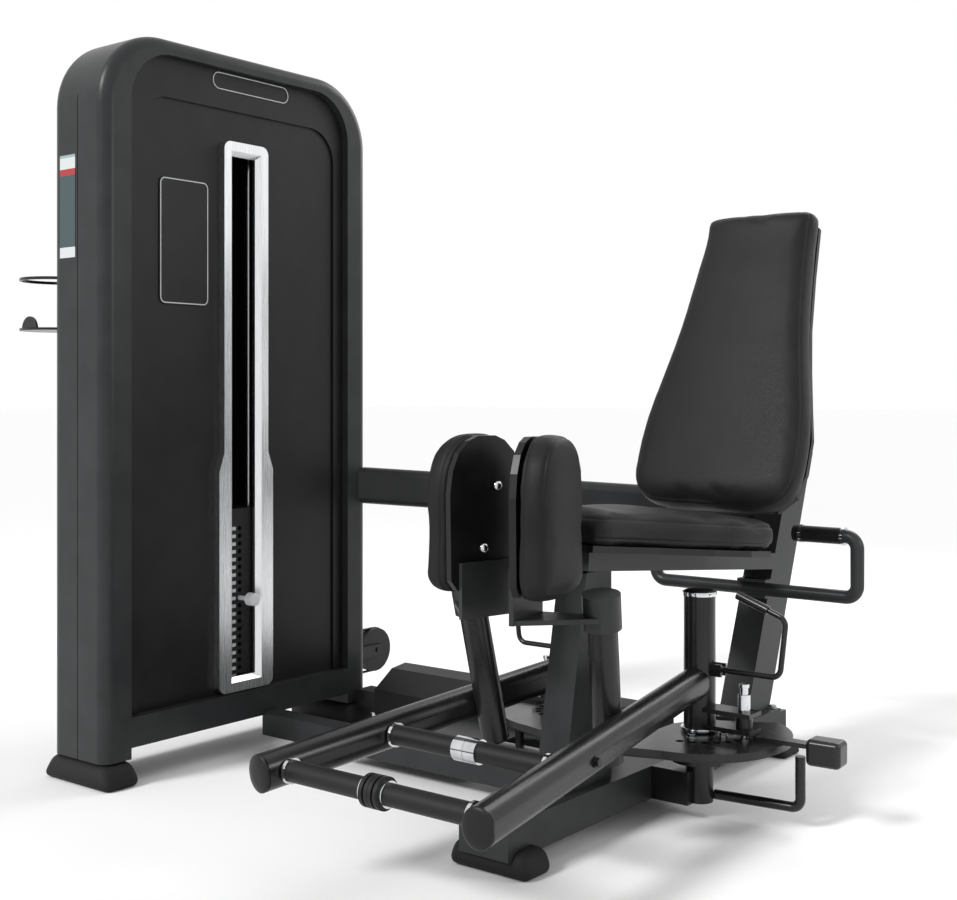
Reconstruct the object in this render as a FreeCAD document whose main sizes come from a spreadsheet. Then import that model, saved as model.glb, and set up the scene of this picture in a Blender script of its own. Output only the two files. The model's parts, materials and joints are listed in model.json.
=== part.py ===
"""Hip adductor and abductor machine: a weight tower beside a seat with two swinging thigh levers.

The frame: millimetres, +Z up, the floor at Z 0. The seat's centre plane is X 0 and the user faces -Y.
The tower stands on the -X side. The origin is the middle of the front foot's sole.
"""
import FreeCAD, Part
import math
import os
import re
from types import SimpleNamespace

os.makedirs("parts", exist_ok=True)
doc = FreeCAD.newDocument("hip_machine")
Vec = FreeCAD.Vector
X_AXIS, Y_AXIS, Z_AXIS = Vec(1, 0, 0), Vec(0, 1, 0), Vec(0, 0, 1)

# Driving dimensions: name, value in millimetres or degrees, what it is
DIMENSIONS = [
    ("tower_gap", 860, "from the seat's centre plane to the tower's face"),
    ("tower_thick", 170, "tower across, along X"),
    ("tower_deep", 750, "tower along Y"),
    ("tower_tall", 1500, "tower height from the floor"),
    ("tower_start", -140, "Y of the tower's front edge"),
    ("tower_corner", 150, "outer radius of the arch"),
    ("arch_band", 66, "width of the arch's legs in the tower's face"),
    ("arch_top", 35, "height of the arch's top band in the tower's face"),
    ("arch_bend", 105, "inner radius of the arch"),
    ("arch_round", 24, "rounding of the arch tube"),
    ("arch_joint", 2, "groove between the two arch halves"),
    ("panel_sunk", 18, "panel behind the arch's face"),
    ("panel_sheet", 3, "thickness of the panels"),
    ("panel_step", 5, "depth of the pressed field in the panel"),
    ("panel_rim", 30, "rim of the panel round the pressed field"),
    ("panel_head", 82, "band of the panel above the pressed field"),
    ("rail_low", 72, "underside of the tower's bottom rail"),
    ("rail_tall", 60, "height of the tower's bottom rail"),
    ("sole_tall", 50, "height of the tower's feet"),
    ("sole_flare", 26, "how far a tower foot stands out on each side"),
    ("trim_drop", 185, "top of the bright window frame below the tower's top"),
    ("trim_low", 135, "bottom of the bright window frame"),
    ("neck_drop", 852, "where the window frame widens, below the tower's top"),
    ("trim_slim", 126, "upper width of the window frame"),
    ("trim_wide", 154, "lower width of the window frame"),
    ("trim_thick", 17, "thickness of the window frame"),
    ("slot_wide", 66, "width of the window slot"),
    ("slot_inset", 30, "slot end to frame end"),
    ("plate_count", 20, "weight plates"),
    ("picked_plates", 10, "plates above the selector pin"),
    ("plate_pitch", 16.8, "plate thickness with its gap"),
    ("plate_gap", 0.3, "gap between plates"),
    ("plate_long", 300, "plate along Y"),
    ("plate_wide", 96, "plate along X"),
    ("stack_low", 155, "underside of the lowest plate"),
    ("rod_spread", 140, "distance between the guide rods"),
    ("rod_thick", 20, "guide rod diameter"),
    ("rod_play", 0.4, "radial clearance of the plates on the rods"),
    ("pin_thick", 10, "selector pin diameter"),
    ("lift", 288, "travel of the picked plates"),
    ("beam_wide", 100, "main beam across"),
    ("beam_tall", 60, "height of the floor beams"),
    ("beam_low", 30, "underside of the floor beams"),
    ("beam_start", -45, "Y of the main beam's front end"),
    ("beam_end", 960, "Y of the main beam's rear end"),
    ("tie_wide", 50, "width of the cross beams"),
    ("tie_front", 300, "Y of the front cross beam"),
    ("tie_rear", 600, "Y of the rear cross beam"),
    ("foot_long", 170, "front foot along X"),
    ("foot_wide", 82, "front foot along Y"),
    ("post_wide", 66, "seat post across"),
    ("post_deep", 96, "seat post section along its depth"),
    ("post_lean", 21.8, "lean of the seat post and the backrest, degrees"),
    ("post_base", 858, "Y of the post's axis at the top of the beam"),
    ("post_long", 645, "length of the seat post"),
    ("column_y", 250, "Y of the seat's front column"),
    ("column_wide", 60, "front column across"),
    ("column_deep", 80, "front column along Y"),
    ("seat_rail_wide", 80, "seat rail across"),
    ("seat_rail_tall", 34, "seat rail height"),
    ("seat_rail_front", 462, "height of the seat rail's underside at the column"),
    ("seat_tilt", 5.5, "slope of the seat, degrees"),
    ("seat_long", 505, "seat cushion along its slope"),
    ("seat_front", 152, "Y of the seat cushion's front"),
    ("seat_slim", 100, "half width of the seat at its front"),
    ("seat_wide", 188, "half width of the seat at its rear"),
    ("seat_thick", 66, "seat cushion thickness"),
    ("seat_height", 506, "underside of the seat cushion at its front"),
    ("board_thick", 12, "plywood and plastic backing boards"),
    ("back_low", 546, "height of the backrest's lower end"),
    ("back_y", 668, "Y of the backrest's face at its lower end"),
    ("back_long", 684, "backrest length"),
    ("back_wide", 196, "half width of the backrest low down"),
    ("back_thick", 80, "backrest cushion thickness"),
    ("slide_tube", 50, "square tube that carries the backrest"),
    ("slide_height", 235, "backrest's slide above its lower end, along the backrest"),
    ("sleeve_wall", 4, "wall of the slide's sleeve"),
    ("slide_play", 0.5, "clearance of the slide tube in its sleeve"),
    ("hub_x", 125, "lever pivot from the centre plane"),
    ("hub_y", 440, "Y of the lever pivots"),
    ("hub_thick", 58, "diameter of the pivot tube"),
    ("hub_top", 413, "top of the pivot tube"),
    ("hub_low", 30, "bottom of the pivot housing"),
    ("shaft_thick", 30, "diameter of the pivot shaft"),
    ("shaft_play", 0.05, "radial clearance on the pivot shaft"),
    ("cam_top", 158, "top of the cam plates"),
    ("cam_thick", 12, "thickness of a cam plate"),
    ("cam_wide", 167, "radius of the cam"),
    ("cam_lobe", 204, "pivot to the tip of the cam's front lobe"),
    ("lever_thick", 60, "height of the lever tube"),
    ("lever_wide", 50, "width of the lever tube"),
    ("lever_end_x", 213, "lever's front end from the centre plane"),
    ("lever_end_y", -328, "Y of the lever's front end"),
    ("lever_end_z", 190, "height of the lever's axis at its front end"),
    ("lever_hub_z", 250, "height of the lever's axis at the pivot"),
    ("peg_front", -295, "Y of the front foot pegs"),
    ("peg_rear", -80, "Y of the rear foot pegs"),
    ("peg_thick", 34, "diameter of a foot peg's sleeve"),
    ("peg_rod", 22, "diameter of a foot peg's rod"),
    ("peg_ring", 40, "diameter of the bright rings"),
    ("ring_long", 6, "length of a bright ring"),
    ("bumper_thick", 50, "diameter of the rubber bumpers"),
    ("bumper_long", 17, "length of a rubber bumper"),
    ("stop_thick", 40, "diameter of the rear pegs' bright end stops"),
    ("badge_long", 219, "badge along Y"),
    ("badge_tall", 36, "badge height"),
    ("badge_y", 259, "Y of the badge's middle"),
    ("badge_drop", 58, "badge's middle below the tower's top"),
    ("placard_long", 130, "placard along Y"),
    ("placard_tall", 262, "placard height"),
    ("placard_y", 76, "Y of the placard's middle"),
    ("placard_drop", 410, "placard's middle below the tower's top"),
    ("label_drop", 454, "side label's lower edge below the tower's top"),
    ("ring_drop", 492, "bottle ring's underside below the tower's top"),
    ("tray_drop", 595, "bottle tray's underside below the tower's top"),
    ("crossbar_drop", 200, "crossbar's underside below the tower's top"),
    ("brace_y", 570, "Y of the brace at the tower"),
    ("brace_z", 561, "height of the brace at the tower"),
    ("brace_end_y", 1066, "Y where the brace meets the centre plane"),
    ("brace_end_z", 506, "height where the brace meets the centre plane"),
    ("brace_tall", 86, "height of the brace's section"),
    ("brace_wide", 40, "width of the brace's section"),
    ("mirror_gap", 0.3, "half the gap between the two sides' bumpers"),
    ("stem_thick", 50, "diameter of the pad stem"),
    ("stem_x", 118, "pad stem's foot from the centre plane"),
    ("stem_y", 142, "Y of the pad stem's foot"),
    ("stem_low", 165, "bottom of the pad stem"),
    ("stem_long", 232, "length of the pad stem"),
    ("stem_lean", 10.5, "forward lean of the pad stem, degrees"),
    ("pad_x", 85, "pad's middle from the centre plane"),
    ("pad_y", 30, "Y of the pad's middle"),
    ("pad_z", 577, "height of the pad's middle"),
    ("pad_tall", 272, "thigh pad height"),
    ("pad_wide", 180, "thigh pad width"),
    ("pad_thick", 62, "thigh pad cushion thickness"),
    ("pad_turn", 12.5, "turn of the pad about the vertical, degrees"),
    ("grip_thick", 34, "diameter of the hand grips"),
    ("bar_thick", 28, "diameter of the handle tube"),
    ("bar_reach", 237, "handle's outer end from the centre plane"),
    ("bar_y", 893, "Y of the handle tube"),
    ("bar_low", 356, "height of the handle's lower bar"),
    ("bar_high", 481, "height of the hand grips"),
    ("bar_inner", 107, "inner end of the hand grips"),
    ("pulley_thick", 105, "diameter of the tower's pulleys"),
    ("pulley_wide", 22, "width of a pulley"),
    ("cable_thick", 6, "diameter of the coated cable"),
    ("cover_high", 135, "top of the rear cover"),
    ("cover_end", 668, "Y of the cover's rear edge"),
    ("tread_high", 62, "top of the tread plate"),
]

sheet = doc.addObject("Spreadsheet::Sheet", "Sizes")
for row, (alias, value, note) in enumerate(DIMENSIONS, start=1):
    sheet.set(f"A{row}", alias)
    sheet.set(f"B{row}", str(value))
    sheet.set(f"C{row}", note)
    sheet.setAlias(f"B{row}", alias)
doc.recompute()
S = SimpleNamespace(**{alias: float(sheet.get(alias)) for alias, _, _ in DIMENSIONS})

WORD = re.compile(r"\b(?!(?:sin|cos|tan|deg)\b)([a-z][a-z_]+)\b")
nodes = []


def bind(obj, prop, formula):
    """Ties a property of obj to a formula of sheet names, such as 'beam_wide / 2'."""
    obj.setExpression(prop, WORD.sub(r"Sizes.\1", str(formula)))


def place(obj, x, y, z, turn=None):
    """Puts obj at a place given by formulas, with a fixed turn."""
    if turn is not None:
        obj.Placement = FreeCAD.Placement(Vec(0, 0, 0), turn)
    for axis, formula in zip("xyz", (x, y, z)):
        bind(obj, f".Placement.Base.{axis}", formula)
    return obj


def box(name, long, wide, tall, x, y, z):
    """A block by its sizes along X, Y and Z and its lowest corner."""
    obj = doc.addObject("Part::Box", name)
    bind(obj, "Length", long)
    bind(obj, "Width", wide)
    bind(obj, "Height", tall)
    return place(obj, x, y, z)


TURNS = {
    "x": FreeCAD.Rotation(Y_AXIS, 90),
    "y": FreeCAD.Rotation(X_AXIS, -90),
    "z": FreeCAD.Rotation(),
}


def rod(name, radius, long, x, y, z, along="z"):
    """A cylinder from the middle of its first end, along one axis."""
    obj = doc.addObject("Part::Cylinder", name)
    bind(obj, "Radius", radius)
    bind(obj, "Height", long)
    return place(obj, x, y, z, TURNS[along])


def fuse(name, pieces):
    """One solid from pieces that overlap or touch."""
    obj = doc.addObject("Part::MultiFuse", name)
    obj.Shapes = pieces
    obj.Refine = True
    return obj


def group(name, pieces):
    """Separate solids that share one node."""
    obj = doc.addObject("Part::Compound", name)
    obj.Links = pieces
    return obj


def cut(name, base, tools):
    """The base with the tools taken out of it."""
    tool = tools[0] if len(tools) == 1 else fuse(name + "_tools", tools)
    obj = doc.addObject("Part::Cut", name)
    obj.Base = base
    obj.Tool = tool
    return obj


def feature(name, shape, placement=None):
    """A shape of its own, where no primitive or boolean fits."""
    obj = doc.addObject("Part::Feature", name)
    obj.Shape = shape
    if placement is not None:
        obj.Placement = placement
    return obj


def node(obj, name):
    """Names obj as one kept sub-part."""
    obj.Label = name
    nodes.append(obj)
    return obj


def closed_face(edges):
    """A flat face bounded by a closed run of edges."""
    return Part.Face(Part.Wire(Part.__sortEdges__(edges)))


def polygon_face(points):
    """A flat face with straight sides."""
    return Part.Face(Part.makePolygon(points + points[:1]))


def rounded_face(y_low, y_high, z_low, z_high, radius_low, radius_high):
    """A rectangle in the YZ plane with its own radius at the bottom and at the top corners."""
    corners = [
        (y_low, z_low, 1, 1, radius_low),
        (y_high, z_low, -1, 1, radius_low),
        (y_high, z_high, -1, -1, radius_high),
        (y_low, z_high, 1, -1, radius_high),
    ]
    edges, ends = [], []
    slant = 1 - math.sqrt(0.5)
    for index, (y, z, toward_y, toward_z, radius) in enumerate(corners):
        on_z_side = Vec(0, y, z + toward_z * radius)
        on_y_side = Vec(0, y + toward_y * radius, z)
        middle = Vec(0, y + toward_y * radius * slant, z + toward_z * radius * slant)
        first, last = (on_z_side, on_y_side) if index % 2 == 0 else (on_y_side, on_z_side)
        if radius > 0:
            edges.append(Part.Arc(first, middle, last).toShape())
        ends.append((first, last))
    for (_, leave), (arrive, _) in zip(ends, ends[1:] + ends[:1]):
        edges.append(Part.LineSegment(leave, arrive).toShape())
    return closed_face(edges)


def bent_tube(points, bend, radius, bore=0):
    """A round tube along straight runs joined by tangent arcs of one bend radius."""
    edges, start = [], points[0]
    for before, corner, after in zip(points, points[1:], points[2:]):
        back = (before - corner).normalize()
        ahead = (after - corner).normalize()
        half = back.getAngle(ahead) / 2
        reach = bend / math.tan(half)
        arrive, leave = corner + back * reach, corner + ahead * reach
        inward = (back + ahead).normalize()
        middle = corner + inward * (bend / math.sin(half) - bend)
        edges.append(Part.LineSegment(start, arrive).toShape())
        edges.append(Part.Arc(arrive, middle, leave).toShape())
        start = leave
    edges.append(Part.LineSegment(start, points[-1]).toShape())
    path = Part.Wire(edges)

    def sweep(size):
        ring = Part.Wire(Part.makeCircle(size, points[0], points[1] - points[0]))
        return path.makePipeShell([ring], True, False)

    solid = sweep(radius)
    if bore:
        solid = solid.cut(sweep(bore))
    return solid


def round_bar(first, last, radius):
    """A round bar between two points."""
    return Part.makeCylinder(radius, (last - first).Length, first, last - first)


def cushion(stations, thick, draw_in, crown):
    """A padded form lofted through sections along +Z: flat back at Y 0, crowned face at -Y.

    stations lists (height, half width, share of the full thickness)."""
    sections = []
    for height, half, share in stations:
        deep = thick * share
        shoulder = deep * (1 - crown)
        narrow = half - draw_in
        left_back, right_back = Vec(-narrow, 0, height), Vec(narrow, 0, height)
        left_face = Vec(-narrow, -shoulder, height)
        right_face = Vec(narrow, -shoulder, height)
        sections.append(
            Part.Wire(
                [
                    Part.LineSegment(left_back, right_back).toShape(),
                    Part.Arc(right_back, Vec(half, -shoulder * 0.55, height), right_face).toShape(),
                    Part.Arc(right_face, Vec(0, -deep, height), left_face).toShape(),
                    Part.Arc(left_face, Vec(-half, -shoulder * 0.55, height), left_back).toShape(),
                ]
            )
        )
    return Part.makeLoft(sections, True, False)


def mirrored(shape):
    """The same shape on the other side of the seat's centre plane."""
    return shape.mirror(Vec(0, 0, 0), X_AXIS)


# Tower


def arch_half(x_low, wide):
    """One half of the tower's arch: a closed band with a square foot end and round shoulders."""
    y_low, y_high = S.tower_start, S.tower_start + S.tower_deep
    outer = rounded_face(y_low, y_high, S.sole_tall, S.tower_tall, 0, S.tower_corner)
    inner = rounded_face(
        y_low + S.arch_band,
        y_high - S.arch_band,
        S.rail_low + S.rail_tall,
        S.tower_tall - S.arch_top,
        0,
        S.arch_bend,
    )
    under = Part.makeBox(
        wide, S.tower_deep - 2 * S.arch_band, S.rail_low - S.sole_tall,
        Vec(0, y_low + S.arch_band, S.sole_tall),
    )
    band = outer.cut(inner).extrude(Vec(wide, 0, 0)).cut(under)
    band.translate(Vec(x_low, 0, 0))
    return band


def round_rim(solid, x_face, radius):
    """Rounds the outer edge of an arch half on the side at x_face."""
    y_low, y_high = S.tower_start, S.tower_start + S.tower_deep
    picked = []
    for edge in solid.Edges:
        spots = [edge.valueAt(edge.FirstParameter + (edge.LastParameter - edge.FirstParameter) * t)
                 for t in (0.1, 0.5, 0.9)]
        if any(abs(spot.x - x_face) > 0.01 for spot in spots):
            continue
        middle = spots[1]
        on_side = min(abs(middle.y - y_low), abs(middle.y - y_high)) < 0.01
        on_top = abs(middle.z - S.tower_tall) < 0.01
        on_corner = edge.Curve.TypeId == "Part::GeomCircle" and abs(
            edge.Curve.Radius - S.tower_corner) < 0.01
        if on_side or on_top or on_corner:
            picked.append(edge)
    return solid.makeFillet(radius, picked)


half_thick = (S.tower_thick - S.arch_joint) / 2
front_x = -S.tower_gap - half_thick
rear_x = -S.tower_gap - S.tower_thick
front_arch = round_rim(arch_half(front_x, half_thick), -S.tower_gap, S.arch_round)
rear_edge = S.tower_start + S.tower_deep
cable_x = -S.tower_gap - S.panel_sunk - S.panel_step - S.panel_sheet - 3 - S.plate_wide / 2
cable_out = S.pulley_thick / 2 - 0.7
front_arch = front_arch.cut(Part.makeCylinder(
    5, S.arch_band + 10, Vec(cable_x, rear_edge - S.arch_band - 5, 143 + cable_out), Y_AXIS))
front_arch = front_arch.cut(Part.makeCylinder(
    5, 40, Vec(cable_x, rear_edge - 30, 143 - cable_out), Y_AXIS))
node(feature("FrontArch", front_arch), "tower_front_arch")
joint_strip = arch_half(rear_x + half_thick, S.arch_joint).common(Part.makeBox(
    S.arch_joint, S.tower_deep - 3, S.tower_tall,
    Vec(rear_x + half_thick, S.tower_start + 1.5, -1.5)))
rear_arch = round_rim(arch_half(rear_x, half_thick), rear_x, S.arch_round)
node(feature("RearArch", rear_arch.fuse(joint_strip)), "tower_rear_arch")

window_y = S.tower_start + S.tower_deep / 2
trim_top = S.tower_tall - S.trim_drop
panel_x = -S.tower_gap - S.panel_sunk
seat_gap = 0.3


def trim_outline(grow):
    """The window frame's outline in the YZ plane, grown by a margin on every side."""
    slim, wide = S.trim_slim / 2 + grow, S.trim_wide / 2 + grow
    low, top = S.trim_low - grow, trim_top + grow
    taper = 40
    neck = S.tower_tall - S.neck_drop
    right = [(slim, top), (slim, neck), (wide, neck - taper), (wide, low)]
    outline = [Vec(0, window_y + y, z) for y, z in right]
    outline += [Vec(0, window_y - y, z) for y, z in reversed(right)]
    return polygon_face(outline)


def corner_edges(solid):
    """The edges of an extruded outline that run along X."""
    return [e for e in solid.Edges
            if abs(e.Vertexes[0].Y - e.Vertexes[-1].Y) < 0.01
            and abs(e.Vertexes[0].Z - e.Vertexes[-1].Z) < 0.01]


slot_box = Part.makeBox(
    200, S.slot_wide, trim_top - S.trim_low - 2 * S.slot_inset,
    Vec(panel_x - 100, window_y - S.slot_wide / 2, S.trim_low + S.slot_inset),
)


def front_panel():
    """The dark panel in the arch, with its pressed field and the window opening."""
    y_low = S.tower_start + S.arch_band + seat_gap
    y_high = S.tower_start + S.tower_deep - S.arch_band - seat_gap
    z_low = S.rail_low + S.rail_tall + seat_gap
    z_high = S.tower_tall - S.arch_top - seat_gap
    corner = S.arch_bend - seat_gap
    plate = rounded_face(y_low, y_high, z_low, z_high, 0, corner)
    solid = plate.extrude(Vec(-S.panel_sheet - S.panel_step, 0, 0))
    field = rounded_face(
        y_low + S.panel_rim, y_high - S.panel_rim, z_low,
        z_high - S.panel_head, 0, corner * 0.7,
    ).extrude(Vec(-S.panel_step, 0, 0))
    solid = solid.cut(field)
    solid.translate(Vec(panel_x, 0, 0))
    return solid.cut(slot_box)


node(feature("FrontPanel", front_panel()), "tower_front_panel")
field_x = panel_x - S.panel_step


def window_trim():
    """The bright frame round the slot, seated on the pressed field, with a chamfered opening."""
    solid = trim_outline(0).extrude(Vec(S.trim_thick, 0, 0))
    solid.translate(Vec(field_x, 0, 0))
    sides = corner_edges(solid)
    ends = [e for e in sides if abs(e.Vertexes[0].Z - trim_top) < 1 or abs(e.Vertexes[0].Z - S.trim_low) < 1]
    solid = solid.makeFillet(18, ends)
    solid = solid.cut(slot_box)
    face_x = field_x + S.trim_thick
    rim = [e for e in solid.Edges
           if all(abs(v.X - face_x) < 0.01 for v in e.Vertexes)
           and abs(e.CenterOfMass.y - window_y) <= S.slot_wide / 2 + 0.01
           and S.trim_low + S.slot_inset - 0.01 <= e.CenterOfMass.z <= trim_top - S.slot_inset + 0.01]
    return solid.makeChamfer(S.trim_thick * 0.6, rim)


node(feature("WindowTrim", window_trim()), "window_trim")


def rear_panel():
    """The closing panel on the tower's far side."""
    face = rounded_face(
        S.tower_start + S.arch_band + seat_gap, S.tower_start + S.tower_deep - S.arch_band - seat_gap,
        S.rail_low + S.rail_tall + seat_gap, S.tower_tall - S.arch_top - seat_gap,
        0, S.arch_bend - seat_gap,
    )
    solid = face.extrude(Vec(S.panel_sheet, 0, 0))
    solid.translate(Vec(rear_x + S.panel_sunk, 0, 0))
    return solid


node(feature("RearPanel", rear_panel()), "tower_rear_panel")

badge_thick = 1.5

def slab_plate(y_mid, z_mid, long, tall, thick, x_back, radius):
    """A thin plate with round corners that faces +X."""
    face = rounded_face(
        y_mid - long / 2, y_mid + long / 2, z_mid - tall / 2, z_mid + tall / 2, radius, radius)
    solid = face.extrude(Vec(thick, 0, 0))
    solid.translate(Vec(x_back, 0, 0))
    return solid


def ring_plate(y_mid, z_mid, long, tall, thick, x_back, radius, line):
    """A thin outline: a plate with its middle taken out."""
    outer = slab_plate(y_mid, z_mid, long, tall, thick, x_back, radius)
    inner = slab_plate(y_mid, z_mid, long - 2 * line, tall - 2 * line, thick * 3,
                       x_back - thick, radius - line)
    return outer.cut(inner)


badge = ring_plate(S.badge_y, S.tower_tall - S.badge_drop, S.badge_long, S.badge_tall, badge_thick, panel_x,
                   S.badge_tall / 2 - 0.5, 2.5)
placard = slab_plate(
    S.placard_y, S.tower_tall - S.placard_drop, S.placard_long, S.placard_tall, 2.5, field_x, 14)
node(feature("TowerPlates", Part.makeCompound([badge, placard])), "tower_plates")

label_face = Part.makeBox(
    50, 0.8, 205, Vec(rear_x + S.arch_round + 4, S.tower_start - 0.8, S.tower_tall - S.label_drop))
node(feature("SideLabel", label_face), "side_label")


def tower_foot(name, y_mid):
    """A flared rubber foot under one leg of the arch."""
    obj = doc.addObject("Part::Wedge", name)
    for prop, formula in {
        "Xmin": "-tower_thick / 2 - sole_flare", "Xmax": "tower_thick / 2 + sole_flare",
        "Zmin": "-arch_band / 2 - sole_flare * 0.6", "Zmax": "arch_band / 2 + sole_flare * 0.6",
        "Ymin": "0", "Ymax": "sole_tall",
        "X2min": "-tower_thick / 2 - 3", "X2max": "tower_thick / 2 + 3",
        "Z2min": "-arch_band / 2 - 3", "Z2max": "arch_band / 2 + 3",
    }.items():
        bind(obj, prop, formula)
    return place(obj, "-tower_gap - tower_thick / 2", y_mid, "0",
                 FreeCAD.Rotation(X_AXIS, 90))


rear_tie_space = box("RearTieSpace", "100", "tie_wide + 1", "beam_tall", "-tower_gap",
                     "tie_rear - tie_wide / 2 - 0.5", "beam_low - 0.3")
tower_feet = group("TowerFeet", [
    tower_foot("TowerFootFront", "tower_start + arch_band / 2"),
    cut("TowerFootRear",
        tower_foot("TowerFootRearBlock", "tower_start + tower_deep - arch_band / 2"),
        [rear_tie_space]),
])
node(tower_feet, "tower_feet")

# Weight stack inside the tower

stack_front = panel_x - S.panel_step - S.panel_sheet - 3
stack_mid_x = stack_front - S.plate_wide / 2
stack_top = S.stack_low + S.plate_count * S.plate_pitch
split_z = S.stack_low + (S.plate_count - S.picked_plates) * S.plate_pitch
rod_ys = [window_y - S.rod_spread / 2, window_y + S.rod_spread / 2]
rod_low, rod_top = S.rail_low + S.rail_tall, S.tower_tall - S.arch_top
selector_play = 1.0


def plates(low, count):
    """A pile of drilled plates."""
    pile = []
    for index in range(int(count)):
        z = low + index * S.plate_pitch
        thick = S.plate_pitch - S.plate_gap
        plate = Part.makeBox(
            S.plate_wide, S.plate_long, thick,
            Vec(stack_mid_x - S.plate_wide / 2, window_y - S.plate_long / 2, z))
        for y in rod_ys:
            plate = plate.cut(Part.makeCylinder(
                S.rod_thick / 2 + S.rod_play, thick, Vec(stack_mid_x, y, z)))
        plate = plate.cut(Part.makeCylinder(
            selector_rod_r + selector_play, thick, Vec(stack_mid_x, window_y, z)))
        pin_hole = Part.makeCylinder(
            S.pin_thick / 2 + 0.3, S.plate_wide, Vec(stack_mid_x - 18, window_y, z + thick / 2), X_AXIS)
        pile.append(plate.cut(pin_hole))
    return Part.makeCompound(pile)


selector_rod_r = 11
node(feature("RestingPlates", plates(S.stack_low, S.plate_count - S.picked_plates)), "resting_plates")
node(feature("PickedPlates", plates(split_z, S.picked_plates)), "picked_plates")

cap_tall = 34
head_plate = Part.makeBox(
    S.plate_wide, S.plate_long, cap_tall,
    Vec(stack_mid_x - S.plate_wide / 2, window_y - S.plate_long / 2, stack_top))
for rod_y in rod_ys:
    head_plate = head_plate.cut(Part.makeCylinder(
        S.rod_thick / 2 + S.rod_play, cap_tall, Vec(stack_mid_x, rod_y, stack_top)))
selector_low = S.stack_low + 2
selector_rod = Part.makeCylinder(
    selector_rod_r, stack_top - selector_low, Vec(stack_mid_x, window_y, selector_low))
pin_z = split_z + (S.plate_pitch - S.plate_gap) / 2
for index in range(int(S.plate_count)):
    z = S.stack_low + index * S.plate_pitch + (S.plate_pitch - S.plate_gap) / 2
    selector_rod = selector_rod.cut(Part.makeCylinder(
        S.pin_thick / 2 + 0.3, 3 * selector_rod_r,
        Vec(stack_mid_x - 1.5 * selector_rod_r, window_y, z), X_AXIS))
node(feature("HeadPlate", head_plate.fuse(selector_rod)), "head_plate")

pin_inner = stack_mid_x - selector_rod_r - 4
knob_low = -S.tower_gap - S.panel_sunk + S.trim_thick + 3
pin_shaft = Part.makeCylinder(
    S.pin_thick / 2, knob_low - pin_inner + 5, Vec(pin_inner, window_y, pin_z), X_AXIS)
pin_knob = Part.makeCylinder(14, 22, Vec(knob_low, window_y, pin_z), X_AXIS)
pin_knob = pin_knob.makeFillet(6, [e for e in pin_knob.Edges if e.Vertexes[0].X > knob_low + 20])
node(feature("SelectorPin", pin_shaft.fuse(pin_knob)), "selector_pin")

guide_rods = group("GuideRods", [
    rod(f"GuideRod{index}", "rod_thick / 2",
        "tower_tall - crossbar_drop + 10 - rail_low - rail_tall",
        "-tower_gap - panel_sunk - panel_step - panel_sheet - 3 - plate_wide / 2",
        f"tower_start + tower_deep / 2 + {sign} * rod_spread / 2", "rail_low + rail_tall")
    for index, sign in enumerate((-1, 1))
])
node(guide_rods, "guide_rods")

bumper_free = S.stack_low - rod_low - seat_gap
stack_bumpers = []
for rod_y in rod_ys:
    ring = Part.makeCylinder(22, bumper_free, Vec(stack_mid_x, rod_y, rod_low))
    stack_bumpers.append(ring.cut(Part.makeCylinder(
        S.rod_thick / 2, bumper_free, Vec(stack_mid_x, rod_y, rod_low))))
node(feature("StackBumpers", Part.makeCompound(stack_bumpers)), "stack_bumpers")

pulley_r, pulley_half = S.pulley_thick / 2, S.pulley_wide / 2
groove_r = S.cable_thick / 2


def pulley(centre, axis, radius):
    """A grooved pulley with a hub bore filled by its own bolt."""
    wheel = Part.makeCylinder(radius, S.pulley_wide, centre - axis * pulley_half, axis)
    groove = Part.makeTorus(radius, groove_r + 1, centre, axis)
    return wheel.cut(groove)


def pulley_bolt(centre, axis, length):
    """The bolt through a pulley, with a hexagon-like head at each end."""
    shaft = Part.makeCylinder(6, length, centre - axis * (length / 2), axis)
    return shaft


top_pulley_z = rod_top - pulley_r - 12
run_r = pulley_r - 0.7
small_r = 36
small_run = small_r - 0.7
top_pulley_mid = Vec(stack_mid_x, window_y + run_r, top_pulley_z)
side_pulley_mid = top_pulley_mid + Y_AXIS * (2 * pulley_r + 8)
drop_y = side_pulley_mid.y + run_r
tower_end = S.tower_start + S.tower_deep
rear_pulley_mid = Vec(stack_mid_x, tower_end + 104, 143)
exit_z = rear_pulley_mid.z + run_r
turn_pulley_mid = Vec(stack_mid_x, drop_y + small_run, exit_z + small_run)


def bored(wheel, centre, axis):
    """The wheel with its running bore."""
    bore = Part.makeCylinder(6.05, 3 * S.pulley_wide, centre - axis * (1.5 * S.pulley_wide), axis)
    return wheel.cut(bore)


wheels = [
    bored(pulley(centre, X_AXIS, radius), centre, X_AXIS)
    for centre, radius in (
        (top_pulley_mid, pulley_r), (side_pulley_mid, pulley_r),
        (rear_pulley_mid, pulley_r), (turn_pulley_mid, small_r),
    )
]
node(feature("Pulleys", Part.makeCompound(wheels)), "pulleys")


def pulley_fork(centre, reach):
    """Two cheeks that run from a pulley's bolt to reach, a vector along Y or Z."""
    side = pulley_half + 2
    fork = pulley_bolt(centre, X_AXIS, 2 * side + 14)
    for x in (centre.x + side, centre.x - side - 4):
        first = Vec(x, centre.y - 14, centre.z - 14)
        arm = Part.makeBox(
            4, 28 + abs(reach.y), 28 + abs(reach.z),
            first + Vec(0, min(reach.y, 0), min(reach.z, 0)))
        fork = fork.fuse(arm)
    return fork


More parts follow.
